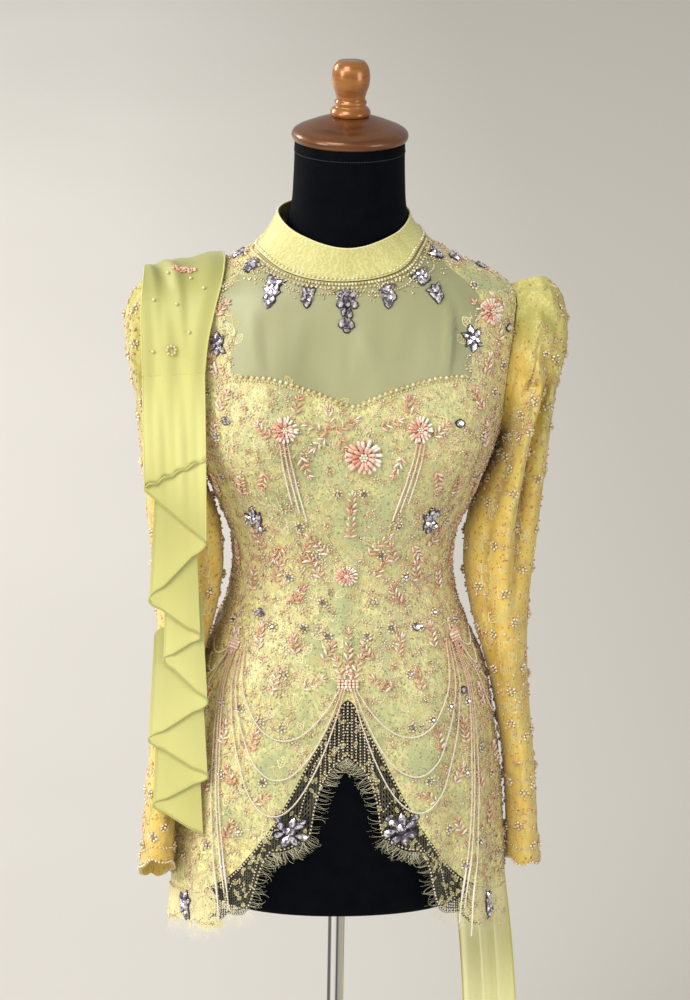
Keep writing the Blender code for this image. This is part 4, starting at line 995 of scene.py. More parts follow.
PINKS = (
    (0.0, (0.74, 0.33, 0.23)),
    (0.35, (0.9, 0.52, 0.39)),
    (0.65, (0.94, 0.68, 0.56)),
    (1.0, (0.97, 0.91, 0.82)),
)
PEARLS = ((0.0, (0.36, 0.22, 0.13)), (0.4, (0.82, 0.66, 0.42)), (1.0, (0.95, 0.89, 0.74)))
STRINGS = ((0.0, (0.88, 0.52, 0.4)), (0.5, (0.93, 0.72, 0.58)), (1.0, (0.96, 0.9, 0.79)))
GOLD_PEARLS = ((0.0, (0.4, 0.26, 0.1)), (0.5, (0.74, 0.6, 0.3)), (1.0, (0.92, 0.84, 0.6)))
STONES = ((0.0, (0.3, 0.26, 0.36)), (0.45, (0.6, 0.57, 0.66)), (1.0, (0.9, 0.89, 0.93)))
SETTINGS = ((0.0, (0.02, 0.015, 0.025)), (1.0, (0.16, 0.13, 0.15)))
LOOKS = {
    "lace_on_satin": satin_look("satin_under_lace", True),
    "satin": satin_look("plain_satin", False),
    "lace_on_gold": gold_look(),
    "chiffon": chiffon_look(),
    "collar": collar_look(),
    "lace_thread": thread_look("lace_thread", (0.6, 0.47, 0.14), (0.9, 0.83, 0.46)),
    "net_thread": thread_look("net_thread", (0.01, 0.011, 0.008), (0.085, 0.08, 0.045)),
    "lash_thread": thread_look("lash_thread", (0.5, 0.42, 0.18), (0.84, 0.8, 0.56)),
    "pink_bead": bead_look("pink_glass", PINKS, 0.28),
    "pearl": bead_look("pearl_glaze", PEARLS, 0.25, 0.25, 0.7),
    "gold_pearl": bead_look("gold_pearl", GOLD_PEARLS, 0.35, 0.1, 0.5),
    "string": bead_look("string_bead", STRINGS, 0.35, 0.0, 0.4),
    "stone": bead_look("cut_stone", STONES, 0.16, 0.75, 0.6, glints=True),
    "setting": bead_look("dark_setting", SETTINGS, 0.35, 0.8, 0.2),
    "jersey": jersey_look(),
    "stitch": thread_look("stitch_thread", (0.01, 0.011, 0.015), (0.05, 0.05, 0.06)),
    "copper_paint": painted_look("copper_paint_worn", (0.1, 0.032, 0.008), (0.21, 0.075, 0.02), 0.35, 0.36),
    "finial_paint": painted_look("finial_paint_worn", (0.27, 0.085, 0.018), (0.42, 0.17, 0.04), 0.35, 0.3),
    "chrome": chrome_look(),
    "floor": floor_look(),
}
# The part's material slot for each look whose own name isn't one.
CAD_SLOTS = {
    **dict.fromkeys(("collar", "lace_thread"), "lace_on_satin"),
    **dict.fromkeys(("net_thread", "lash_thread"), "lace_on_gold"),
    **dict.fromkeys(("pink_bead", "pearl", "string", "gold_pearl"), "bead"),
    **dict.fromkeys(("stone", "setting"), "crystal"),
    "finial_paint": "copper_paint",
    "stitch": "jersey",
}


# ---------------------------------------------------------------- making meshes
def in_scene(name, data):
    """A new object in the scene."""
    obj = bpy.data.objects.new(name, data)
    bpy.context.scene.collection.objects.link(obj)
    return obj


def finished(name, mesh, look, sharp=None):
    """The object of a mesh, riding on the part's body, with its look."""
    obj = in_scene(name, mesh)
    mesh.materials.append(LOOKS[look])
    mesh.shade_smooth()
    if sharp is not None:
        mesh.set_sharp_from_angle(angle=math.radians(sharp))
    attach(obj, BODY)
    CAD_SLOTS.get(look, look)
    return obj


def mesh_of(name, verts, faces, tints=None, places=None):
    """A mesh from arrays. tints and places give one tint and one (u, v) for each vertex."""
    mesh = bpy.data.meshes.new(name)
    mesh.from_pydata(verts, [], faces)
    if tints is not None:
        layer = mesh.attributes.new("tint", "FLOAT", "POINT")
        layer.data.foreach_set("value", np.asarray(tints, np.float32))
    if places is not None:
        corners = np.empty(len(mesh.loops), int)
        mesh.loops.foreach_get("vertex_index", corners)
        layer = mesh.uv_layers.new(name="cut")
        layer.uv.foreach_set("vector", np.asarray(places, np.float32)[corners].ravel())
    mesh.validate()
    return mesh


def cut_size(points):
    """(width, length, area) of the flat cut of a grid of points, measured along the cloth."""
    across = np.linalg.norm(np.diff(points, axis=1), axis=-1)
    along = np.linalg.norm(np.diff(points, axis=0), axis=-1)
    a, b = points[1:, 1:] - points[:-1, :-1], points[1:, :-1] - points[:-1, 1:]
    area = np.linalg.norm(np.cross(a, b), axis=-1).sum() / 2
    return across.sum(axis=1).max(), along.sum(axis=0).max(), area


def shell(name, points, normals, thickness, look, closed=False, tint=0.5):
    """A thin closed wall. points is a grid (rows, columns, 3) of its inner face."""
    rows, columns = points.shape[:2]
    count = rows * columns
    verts = np.concatenate([points.reshape(-1, 3), (points + normals * thickness).reshape(-1, 3)])
    index = np.arange(count).reshape(rows, columns)
    if closed:
        index = np.concatenate([index, index[:, :1]], axis=1)
    inner = corners_of(index)
    quads = [inner.reshape(-1, 4) + count, inner[..., ::-1].reshape(-1, 4)]
    edges = [(index[0, :-1], index[0, 1:]), (index[-1, 1:], index[-1, :-1])]
    if not closed:
        edges += [(index[1:, 0], index[:-1, 0]), (index[:-1, -1], index[1:, -1])]
    quads += [np.stack([p, q, q + count, p + count], -1) for p, q in edges]
    steps = [np.linalg.norm(np.diff(points, axis=axis), axis=-1).mean() for axis in (1, 0)]
    u, v = np.meshgrid(np.arange(columns) * steps[0], np.arange(rows) * steps[1])
    places = np.tile(np.stack([u.ravel(), v.ravel()], -1), (2, 1))
    tints = np.tile(np.broadcast_to(tint, (rows, columns)).ravel(), 2)
    return finished(name, mesh_of(name, verts, np.concatenate(quads), tints, places), look, sharp=60)


def corners_of(grid):
    """The four corners of every cell of a grid."""
    return np.stack([grid[:-1, :-1], grid[:-1, 1:], grid[1:, 1:], grid[1:, :-1]], axis=2)


def worn(obj, points, node, pieces=(), closed=1.0):
    """Puts a piece of cloth in place of a CAD node, whose part it hides. It works out the cut's size from its
    grid and an area, the threads' own or NET_LEAST of the cut's rectangle where that is more, but uses
    neither.
    closed is the share of an open net that is thread. The area declared is the threads' own, or NET_LEAST of
    the cut's rectangle where that is more."""
    width, length, area = cut_size(points)
    area = min(max(area * closed, NET_LEAST * width * length), width * length)
    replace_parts(obj, node)


class Joined:
    """Many copies of small shapes, joined into one mesh."""

    def __init__(self):
        self.verts, self.faces, self.tints, self.count = [], [], [], 0

    def add(self, verts, faces, tint=0.5):
        """verts is (copies, vertices, 3) and faces the corners of one copy."""
        copies, size = verts.shape[:2]
        starts = self.count + size * np.arange(copies)
        self.verts.append(verts.reshape(-1, 3))
        self.faces.append((faces[None] + starts[:, None, None]).reshape(-1, 3))
        self.tints.append(np.repeat(np.broadcast_to(tint, (copies,)), size))
        self.count += copies * size

    def put(self, shape, frames, size, turn=None, tilt=0.0, tint=0.5):
        """Copies of a shape at frames (point, right, up, out), sized, then turned about out."""
        point, right, up, out = frames
        if np.ndim(size) == 1 and not isinstance(size, tuple):
            size = size[:, None]
        size = np.broadcast_to(size, (len(point), 3))
        if turn is not None:
            c, s = np.cos(turn)[:, None], np.sin(turn)[:, None]
            right, up = right * c + up * s, up * c - right * s
        if tilt:
            c, s = np.cos(tilt), np.sin(tilt)
            up, out = up * c + out * s, out * c - up * s
        axes = np.stack([right, up, out], axis=1)
        verts = point[:, None] + np.einsum("nvk,nkx->nvx", shape[0][None] * size[:, None, :], axes)
        self.add(verts, shape[1], tint)

    def build(self, name, look, sharp=None):
        arrays = (np.concatenate(part) for part in (self.verts, self.faces, self.tints))
        return finished(name, mesh_of(name, *arrays), look, sharp)


def ball(rounds):
    """A unit-diameter ball as (vertices, triangles)."""
    mesh = bpy.data.meshes.new("ball")
    shape = bmesh.new()
    bmesh.ops.create_icosphere(shape, subdivisions=rounds, radius=0.5)
    shape.to_mesh(mesh)
    shape.free()
    verts = np.array([v.co for v in mesh.vertices])
    faces = np.array([tuple(p.vertices) for p in mesh.polygons])
    bpy.data.meshes.remove(mesh)
    return verts, faces


def rings_shape(*profile):
    """A five-sided shape turned about its y axis from (y, radius) pairs: (vertices, triangles)."""
    sides, verts, faces = 5, [(0.0, profile[0][0], 0.0)], []
    for y, radius in profile:
        for k in range(sides):
            a = 2 * math.pi * k / sides
            verts.append((radius * math.cos(a), y, radius * math.sin(a)))
    verts.append((0.0, profile[-1][0], 0.0))
    last = len(verts) - 1
    for k in range(sides):
        n = (k + 1) % sides
        faces.append((0, 1 + k, 1 + n))
        for low in range(1, last - sides, sides):
            a, b = low + k, low + n
            faces += [(a, a + sides, b), (b, a + sides, b + sides)]
        faces.append((last, last - sides + n, last - sides + k))
    return np.array(verts), np.array(faces)


def spindle():
    """Two four-sided pyramids base to base, 1 long along y and 1 wide: (vertices, triangles)."""
    turn = 2 * math.pi * np.arange(4) / 4
    ring = np.stack([0.5 * np.cos(turn), 0 * turn, 0.5 * np.sin(turn)], -1)
    verts = np.concatenate([ring, [[0, 0.5, 0], [0, -0.5, 0]]])
    ends = [(k, (k + 1) % 4) for k in range(4)]
    return verts, np.array([(b, a, 4) for a, b in ends] + [(a, b, 5) for a, b in ends])


def stone_shape(outline):
    """A cut stone over an outline of (x, y) points, 1 high and flat below."""
    outline = np.array(outline, float)
    n = len(outline)
    foot, girdle, table = (0.9, 0.0), (1.0, 0.35), (0.52, 1.0)
    verts = [np.append(outline * share, np.full((n, 1), z), axis=1) for share, z in (foot, girdle, table)]
    verts = np.concatenate(verts + [[[0, 0, 0]], [[0, 0, 1.0]]])
    faces = []
    for k in range(n):
        m = (k + 1) % n
        faces += [(3 * n, m, k), (2 * n + k, 2 * n + m, 3 * n + 1)]
        for low in (0, n):
            faces += [(low + k, low + m, low + n + m), (low + k, low + n + m, low + n + k)]
    return verts, np.array(faces)


def mirrored(half):
    """An outline from its right side's points, from the top down."""
    return half + [(-x, y) for x, y in half[-2:0:-1]]


def strokes(lines):
    """A flat drawing of lines, each (points, width): (vertices, triangles)."""
    verts, faces, count = [], [], 0
    for points, width in lines:
        points = np.array(points, float)
        along = unit(np.gradient(points, axis=0))
        side = np.stack([-along[:, 1], along[:, 0]], -1)
        widths = np.broadcast_to(width, (len(points),))[:, None] / 2
        verts += [points + side * widths, points - side * widths]
        n = len(points)
        for k in range(n - 1):
            a, b, c, d = count + k, count + k + 1, count + n + k + 1, count + n + k
            faces += [(a, d, c), (a, c, b)]
        count += 2 * n
    return np.concatenate(verts), np.array(faces)


BALL, FINE_BALL = ball(1), ball(2)
BUGLE = rings_shape((-0.5, 0.3), (-0.36, 0.5), (0.36, 0.5), (0.5, 0.3))
GRAIN = rings_shape((-0.5, 0.2), (0.1, 0.5), (0.5, 0.2))
SEED = spindle()
MARQUISE = stone_shape(mirrored([(0, 0.5), (0.17, 0.3), (0.25, 0), (0.17, -0.3), (0, -0.5)]))
PEAR = stone_shape(mirrored([(0, 0.5), (0.15, 0.22), (0.27, -0.1), (0.24, -0.36), (0, -0.5)]))
EIGHTHS = [math.pi * k / 4 for k in range(8)]
ROUND_STONE = stone_shape([(0.5 * math.sin(a), 0.5 * math.cos(a)) for a in EIGHTHS])


def leaf_drawing(half_width, hatches, points):
    """A lace leaf: a thread round its edge, a midrib and slanting threads, 1 long from (0, 0)."""
    t = np.linspace(0, 1, points)
    half = half_width * np.sin(np.pi * t) ** 0.75
    lines = [(np.stack([side * half, t], -1), 0.055) for side in (-1, 1)]
    lines.append(([(0, 0), (0, 1)], 0.05))
    for k in range(hatches):
        low = (k + 0.4) / (hatches + 0.8)
        high = min(0.97, low + 0.11)
        reach = 0.93 * half_width * math.sin(math.pi * high) ** 0.75
        lines += [([(0, low), (side * reach, high)], 0.042) for side in (-1, 1)]
    return strokes(lines)


LEAF, SMALL_LEAF = leaf_drawing(0.25, 4, 7), leaf_drawing(0.25, 3, 5)
STEM = strokes([([(0, 0), (0, 0.5), (0, 1)], 0.11)])
LASH_LINE = [(0, 0), (0.02, 0.3), (0.09, 0.6), (0.22, 0.86), (0.38, 1.0), (0.5, 1.0)]
LASH = strokes([(LASH_LINE, (0.024, 0.022, 0.02, 0.016, 0.012, 0.008))])
WISP = strokes([([(0, 0), (0.05, 0.5), (0.22, 0.95)], (0.075, 0.065, 0.03))])


# ---------------------------------------------------------------- the blouse's shells
def panel_grid(left, right, rows, columns):
    """Grids (angle, height) of a panel between two side lines. rows holds one function of the
    angle for each row's height."""
    u = np.linspace(0, 1, columns + 1)[None]
    height = np.ones((len(rows), columns + 1))
    for _ in range(14):
        angle = lerp(left(height), right(height), u)
        height = np.stack([row(angle[k]) for k, row in enumerate(rows)])
    return angle, height


def even_rows(low, high, count):
    def row(share):
        def height(angle):
            ends = [end(angle) if callable(end) else end for end in (low, high)]
            return lerp(*ends, share) + 0 * angle

        return height

    return [row(k / count) for k in range(count + 1)]


def side_rows():
    rows = even_rows(lining_edge, ARMPIT, 80)
    for k in range(1, 25):
        height = lerp(ARMPIT, SHOULDER_TIP, (1 - math.cos(math.pi * k / 24)) / 2)
        rows.append(lambda angle, height=height: height + 0 * angle)
    return rows + even_rows(SHOULDER_TIP, NECK_SIDE, 8)[1:]


def yellow_share(angle, height):
    """How much the lace hides the satin: fully at the sides, less down the middle."""
    turned = np.abs(wrapped(angle))
    share = 0.32 + 0.62 * smooth((turned - 22) / 42)
    share += 0.25 * smooth((0.8 - height) / 0.14)
    share -= 0.2 * bell(turned - 180, 16)
    return np.clip(share, 0, 1) * (1 - 0.85 * bare_share(angle, height))


def blouse_shell(node, angle, height, look):
    points, _, _, normals = BLOUSE.frame(angle, height)
    obj = shell(node + "_cloth", points, normals, WALL, look, tint=yellow_share(angle, height))
    worn(obj, points, node)


def make_panels():
    def edge(sign, line):
        return lambda h: sign * line(h)

    def back_seam(h):
        return 180 - seam_angle(h)

    low = even_rows(lining_edge, sweetheart, 70)
    high = even_rows(sweetheart, NECK_SIDE, 34)
    middle = edge(-1, front_line), edge(1, front_line)
    blouse_shell("front_centre", *panel_grid(*middle, low, 44), "lace_on_satin")
    blouse_shell("yoke", *panel_grid(*middle, high, 56), "satin")
    for side, sign in SIDES.items():
        for name, lines, columns in (
            ("front_side_", (front_line, front_side_line), 30),
            ("back_", (back_side_line, back_seam), 40),
        ):
            left, right = (edge(sign, line) for line in lines[::sign])
            blouse_shell(name + side, *panel_grid(left, right, side_rows(), columns), "lace_on_satin")


def make_collar():
    angle, v = np.meshgrid(np.linspace(-179.85, 179.85, 181), np.linspace(0, 1, 11))
    points, _, _, normals = COLLAR_FACE.frame(angle, v)
    obj = shell("collar_cloth", points, normals, COLLAR_WALL, "collar")
    worn(obj, points, "collar")
    piping = Joined()
    along = np.linspace(-179, 179, 400)
    frames = COLLAR_FACE.frame(along, np.ones_like(along), COLLAR_WALL / 2)
    piping.put(BALL, frames, (0.0028, 0.0018, 0.0026), tint=0.95)
    piping.build("collar_piping", "lace_thread")


def make_sleeves():
    for side, sign in SIDES.items():
        turn = np.linspace(0, 360, 112, endpoint=False)
        row = np.concatenate([np.linspace(0, 3, 23)[:-1], np.linspace(3, SLEEVE_ROWS, 78)])
        p, q = np.meshgrid(turn if sign > 0 else turn - 360.0, row)
        points, _, _, normals = SLEEVES[side].frame(p, q)
        # Painted light, with the lace's own colour: the tint is high on the outer side and low on the inner
        # side by the body, painted as gold shade; it is raised round row 5 and falls down the sleeve, whose
        # lower part is golden.
        lit = smooth(np.cos(np.radians(p)) + 0.2) * (1 - 0.8 * smooth((q - 6.5) / 3.5))
        tint = 0.3 + 0.7 * np.clip(lit + 0.4 * bell(q - 5, 2.5), 0, 1)
        # Painted shade and highlight: the tint drops in the creases' troughs and rises on their ridges.
        folds = sleeve_relief(p * sign, q)
        tint = tint + np.where(folds < 0, 60 * folds, 45 * folds)
        # Painted shadow deep in the sleeve's big folds.
        for fold in SLEEVE_FOLDS:
            tint = tint - FOLD_SHADE * fold["depth"] * sleeve_fold(fold, p * sign, q, 0.6)
        name, inner = "sleeve_" + side, points - normals * WALL
        obj = shell(name + "_cloth", inner, normals, WALL, "lace_on_gold", True, np.clip(tint, 0, 1))
        worn(obj, np.concatenate([points, points[:, :1]], axis=1), name)


# Places (u, v) on the shawl's shoulder.
SHAWL_PEARLS = (
    (0.84, 0.3), (0.52, 0.27), (0.3, 0.16), (0.84, 0.1), (0.4, 0.4), (0.68, 0.45), (0.2, 0.33),
)
SHAWL_RING, SHAWL_PINK = (0.55, 0.1), (0.48, 0.46)


def front_tint(v):
    return 0.8 - 0.25 * bell(v, 0.25)


def shoulder_tint(v):
    return 0.8 - 0.78 * bell(v - 0.48, 0.3) + 0.05 * bell(v - 1, 0.2)


SHAWL_PIECES = (
    # name, place, its tint by v, columns, rows, how it hangs, edges with a rolled hem
    ("shawl_shoulder", shoulder_place, shoulder_tint, 52, 48, "draped", ("near", "far")),
    ("shawl_back", back_place, lambda v: 0.8 - 0.2 * v, 48, 60, "draped", ("near", "far")),
    # Painted light: the tail's tint rises to a pale highlight further down.
    ("shawl_tail", tail_place, lambda v: 0.6 + 0.4 * smooth(v / 0.5), 70, 44, "hung", ("near", "far", "end")),
    ("shawl_front", front_fall_place, front_tint, 36, 90, "hung", ("near", "far", "start")),
    # Painted shade: each layer of the cascade is darker towards its top, under the layer in front.
    ("shawl_cascade", cascade_place, lambda v: 0.85 - 0.6 * v, 256, 16, "hung", ("start",)),
)
HEM = 0.0009  # radius of the shawl's rolled hem
CHIFFON_WALL = 0.0008


def tube(group, points, radius, tint):
    """A six-sided thread through a line of points."""
    sides = 6
    along = unit(np.gradient(points, axis=0))
    guide = unit(np.cross(along, np.roll(along, 1, axis=-1) + 0.31))
    turn = 2 * np.pi * np.arange(sides) / sides
    ring = np.cos(turn)[:, None] * guide[:, None]
    ring = ring + np.sin(turn)[:, None] * np.cross(along, guide)[:, None]
    faces = []
    for k in range(len(points) - 1):
        for j in range(sides):
            a, b = k * sides + j, k * sides + (j + 1) % sides
            faces += [(a, b, b + sides), (a, b + sides, a + sides)]
    last = (len(points) - 1) * sides
    for j in range(1, sides - 1):
        faces += [(0, j + 1, j), (last, last + j, last + j + 1)]
    group.add((points[:, None] + radius * ring).reshape(1, -1, 3), np.array(faces), tint)


def make_shawl():
    for name, place, tint, columns, rows, held, edges in SHAWL_PIECES:
        u, v = np.meshgrid(np.linspace(0, 1, columns + 1), np.linspace(0, 1, rows + 1))
        step = 0.001 if place is cascade_place else 0.01
        points, _, _, normals = Surface(place, step, 0.01).frame(u, v)
        obj = shell(name + "_cloth", points, normals, CHIFFON_WALL, "chiffon", tint=tint(v))
        middle = points + normals * CHIFFON_WALL / 2
        lines = {"near": middle[:, 0], "far": middle[:, -1], "start": middle[0], "end": middle[-1]}
        hem = Joined()
        for edge in edges:
            frilled = edge == "start"
            # Painted shade: the frilled hems along the folds get a low tint, the others 0.75.
            tube(hem, lines[edge], HEM * (1.5 if frilled else 1.0), 0.25 if frilled else 0.75)
        if name == "shawl_front":
            x = np.linspace(-0.21, -0.1482, 90)
            z = front_fold_z(x)
            share = (x - points[:, :, 0].min()) / np.ptp(points[:, :, 0])
            y = front_y(z) - 0.0046 + 0.001 * np.sin(30 * share)
            # The fold's hem, darkened with painted shade.
            tube(hem, xyz(x, y, z), HEM * 1.4, 0.25)
        worn(obj, points, name, [hem.build(name + "_hem", "chiffon")])


def make_shawl_beads():
    """Pearls, a pearl ring and a pink cluster sewn to the shawl's shoulder."""
    surface = Surface(shoulder_place, 0.01, 0.01)
    pearls, pinks = Joined(), Joined()
    spots = np.array(SHAWL_PEARLS)
    pearls.put(FINE_BALL, surface.frame(spots[:, 0], spots[:, 1], -0.0016), 0.0036, tint=0.7)
    turn = np.linspace(0, 2 * np.pi, 9)[:-1]
    ring = (np.full(8, x) for x in SHAWL_RING)
    frames = surface.beside(*ring, 0.0044 * np.cos(turn), 0.0044 * np.sin(turn), -0.0015)
    pearls.put(FINE_BALL, frames, 0.0034, tint=0.6)
    count = 46
    away = np.sqrt(rng.random(count))
    turn = rng.uniform(0, 2 * np.pi, count)
    cluster = (np.full(count, x) for x in SHAWL_PINK)
    frames = surface.beside(*cluster, 0.013 * away * np.cos(turn), 0.006 * away * np.sin(turn), -0.0012)
    pinks.put(BALL, frames, 0.003, tint=rng.uniform(0.0, 0.9, count))
    pearls.build("shawl_pearls", "gold_pearl")
    pinks.build("shawl_pinks", "pink_bead")


# ---------------------------------------------------------------- lace
class Lace(Joined):
    """Leaves and stems of thread, drawn on surfaces."""

    def __init__(self, out):
        super().__init__()
        self.out = out

    def draw(self, surface, p, q, turn, size, drawing, tint):
        self.add(surface.drawn(p, q, turn, size, drawing[0], self.out), drawing[1], tint)

    def vines(self, surface, p, q, turn, step, leaf, tint):
        """A vine through the places (p, q): a stem piece and a leaf at each, turned from +q."""
        n = len(p)
        if not n:
            return
        side = np.where(np.arange(n) % 2, 1.0, -1.0)
        lean = side * rng.uniform(0.45, 1.05, n)
        size = VINE_LEAF * rng.uniform(0.75, 1.2, n)
        self.draw(surface, p, q, turn + lean, np.stack([size, size], -1), leaf, tint)
        self.draw(surface, p, q, turn, step * 1.1, STEM, tint)


# Where the satin shows through the lace: angle, height, half width in degrees, half height.
BARE = (
    (0, 1.05, 6, 0.045),
    (-2, 0.955, 4.5, 0.03),
    (3, 0.905, 4, 0.022),
    (-17, 1.168, 6, 0.012),
    (-14, 1.11, 5, 0.03),
    (15, 1.085, 4.5, 0.022),
    (-30, 0.775, 7, 0.026),
    (28, 0.79, 6, 0.028),
    (-14, 0.85, 4, 0.018),
    (16, 0.845, 4, 0.018),
    (-45, 0.72, 6, 0.02),
    (44, 0.74, 6, 0.022),
    (31, 1.17, 5, 0.014),
    (66, 1.287, 15, 0.024),
    (-68, 1.285, 16, 0.03),
)


def bare_share(angle, height):
    """1 where the satin is bare of lace, 0 where it is covered."""
    turned = wrapped(angle)
    bells = [bell(turned - at, wide) * bell(height - up, tall) for at, up, wide, tall in BARE]
    return np.clip(sum(bells), 0, 1)


def lace_share(angle, height):
    """How likely a leaf of lace is at a place."""
    turned = wrapped(angle)
    share = 0.72 + 0.25 * smooth((np.abs(turned) - 20) / 30)
    share = share - 0.95 * bare_share(angle, height)
    in_yoke = (height > sweetheart(turned) - 0.004) & (np.abs(turned) < front_line(height) - 3)
    return np.where(in_yoke, 0.0, share)


def on_blouse(angle, height, low_margin=0.002):
    """True where a place lies on the lined blouse, clear of its edges."""
    turned = np.abs(wrapped(angle))
    inside = (height > lining_edge(turned) + low_margin) & (height < NECK_SIDE - 0.004)
    hole = (height > ARMPIT - 0.004) & (height < SHOULDER_TIP + 0.003)
    return inside & ~(hole & (np.abs(turned - 90) < armhole_half(height) + 2.5))


VINE_LEAF = 0.0135


def make_blouse_lace():
    spacing, vines = 0.0085, 20
    heights = np.arange(0.6, NECK_SIDE, spacing)
    for name, middle, leaf in (("front", 0, LEAF), ("back", 180, SMALL_LEAF)):
        lace = Lace(WALL + 0.00025)
        for k in range(vines):
            base = middle - 90 + 180 * (k + 0.5) / vines
            sway = rng.uniform(2.2, 3.6) * (-1 if base < middle else 1)
            phase = rng.uniform(0, 0.6) + 2.2 * abs(base - middle) / 90
            wave = 2 * np.pi * heights / 0.16 + phase
            angle = base + sway * np.sin(wave)
            slope = sway * np.cos(wave) * 2 * np.pi / 0.16 * DEGREE
            keep = on_blouse(angle, heights) & (rng.random(len(heights)) < lace_share(angle, heights))
            tint = rng.uniform(0.1, 0.9, keep.sum())
            lace.vines(BLOUSE, angle[keep], heights[keep], -np.arctan(slope[keep]), spacing, leaf, tint)
        lace.build("lace_threads_" + name, "lace_thread")


def make_bead_vines():
    """Lines of small pink beads that wind between the leaves of the front."""
    seeds = Joined()
    for k in range(16):
        base = -94 + 188 * (k + 0.5) / 16
        for low in np.arange(0.64 + 0.03 * (k % 3), 1.26, 0.105):
            height = np.linspace(low, low + rng.uniform(0.045, 0.085), 60)
            sway = rng.uniform(3.0, 6.5) * (1 if k % 2 else -1)
            angle = base + sway * np.sin(2 * np.pi * (height - low) / 0.11 + rng.uniform(0, 1.5))
            keep = on_blouse(angle, height, 0.004) & (lace_share(angle, height) > 0.35)
            if keep.sum() > 8:
                beads_along(seeds, angle[keep], height[keep], BLOUSE, 0.0023, 0.0016, WALL + 0.0008, SEED)
    seeds.build("pink_bead_vines", "pink_bead")


def make_sleeve_lace():
    lace = Lace(0.0003)
    rows = np.arange(3.2, 17.6, 0.3)
    for side, sign in SIDES.items():
        for k in range(12):
            turn = 30 * k + 8 * np.sin(rows * 0.9 + k)
            keep = rng.random(len(rows)) < 0.82
            tint = rng.uniform(0.0, 0.6, keep.sum())
            down = np.full(keep.sum(), math.pi)
            lace.vines(SLEEVES[side], (turn * sign)[keep], rows[keep], down, 0.01, SMALL_LEAF, tint)
    lace.build("lace_threads_sleeves", "lace_thread")


NET_OPEN = 0.58  # share of a net's cell that its hole is wide
# The threads of a front net have less, so its declared area is raised to this share.
NET_LEAST = 0.303


def net(name, angle, height):
    """Open netting: every cell of a grid of places is a frame of threads round a hole."""
    points = BLOUSE.frame(angle, height, 0.0004)[0]
    corners = corners_of(points).reshape(-1, 4, 3)
    inner = lerp(corners.mean(axis=1, keepdims=True), corners, NET_OPEN)
    faces = []
    for k in range(4):
        n = (k + 1) % 4
        faces += [(k, n, 4 + n), (k, 4 + n, 4 + k)]
    mesh = Joined()
    mesh.add(np.concatenate([corners, inner], axis=1), np.array(faces), rng.random(len(inner)))
    return mesh.build(name, "net_thread"), points


BORDER_LEAVES = (
    # leaves a degree, angle they start from, lowest and highest share, size, its range, widest turn
    (1.5, None, (0.05, 0.92), 0.0068, (0.7, 1.2), 1.2),
    (10, 46, (0.02, 0.95), 0.012, (0.7, 1.3), 2.6),
)


def border_leaves(first, last):
    """Lace leaves over the net, many more of them at the sides."""
    lace = Lace(SHEER_WALL + 0.0002)
    for density, start, shares, size, sizes, widest in BORDER_LEAVES:
        count = int((last - first) * density)
        at = rng.uniform(first + 1, last - 1, count)
        if start is not None:
            at = at[rng.random(count) < smooth((np.abs(wrapped(at)) - start) / 10)]
        count, low = len(at), lace_edge(at)
        up = low + (lining_edge(wrapped(at)) - low) * rng.uniform(*shares, count)
        size = np.stack([size * rng.uniform(*sizes, count)] * 2, -1)
        turn = rng.uniform(-widest, widest, count)
        lace.draw(BLOUSE, at, up, turn, size, SMALL_LEAF, rng.uniform(0.2, 1.0, count))
    return lace


def border_lashes(first, last):
    """Curled lashes of thread, hanging from the border's edge."""
    count = int((last - first) * 5.6)
    at = np.linspace(first, last, count) + rng.uniform(-0.15, 0.15, count)
    turned = wrapped(at)
    edge = lace_edge(turned)
    slope = (lace_edge(turned + 0.3) - lace_edge(turned - 0.3)) / (0.6 * DEGREE)
    turn = np.pi + np.arctan(slope) + rng.normal(0, 0.22, count)
    long = rng.uniform(0.008, 0.015, count) * np.where(np.abs(turned) > 58, 1.25, 1.0)
    curl = np.where(rng.random(count) < 0.75, 1.0, -1.0) * np.sign(turned + 0.001)
    size = np.stack([long * curl * rng.uniform(0.3, 1.1, count), long], -1)
    verts = BLOUSE.drawn(at, edge + 0.001, turn, size, LASH[0], 0.0008)
    share = np.tile(np.linspace(0, 1, len(LASH[0]) // 2), 2)
    lift = share[None, :, None] ** 2 * rng.uniform(-0.0005, 0.004, count)[:, None, None]
    lashes = Joined()
    verts = verts + BLOUSE.frame(at, edge)[3][:, None] * lift
    lashes.add(verts, LASH[1], rng.uniform(0.5, 1.0, count))
    return lashes


def border_pearls():
    """Pearls along both edges of the border and down the net over the opening's point."""
    pearls = Joined()
    line = np.linspace(-179.5, 179.5, 2400)
    low, high = lace_edge(line), lining_edge(line)
    wave = lerp(low, high, 0.55 + 0.25 * np.sin(np.radians(line * 24)))
    for height, reach, gap, size, out in (
        (low + 0.004, 88, 0.0042, 0.0028, 0.0016),
        (high - 0.003, 88, 0.0042, 0.0028, 0.0018),
        (wave, 75, 0.0036, 0.0023, 0.0016),
    ):
        near = np.abs(line) < reach
        beads_along(pearls, line[near], height[near], BLOUSE, gap, size, out, SEED)
    for angle in np.arange(-9.0, 9.1, 1.5):
        height = np.linspace(lace_edge(angle) + 0.004, lining_edge(angle) - 0.004, 30)
        beads_along(pearls, angle + 0 * height, height, BLOUSE, 0.0032, 0.0024, 0.0018, SEED)
    pearls.build("border_pearls", "pearl")


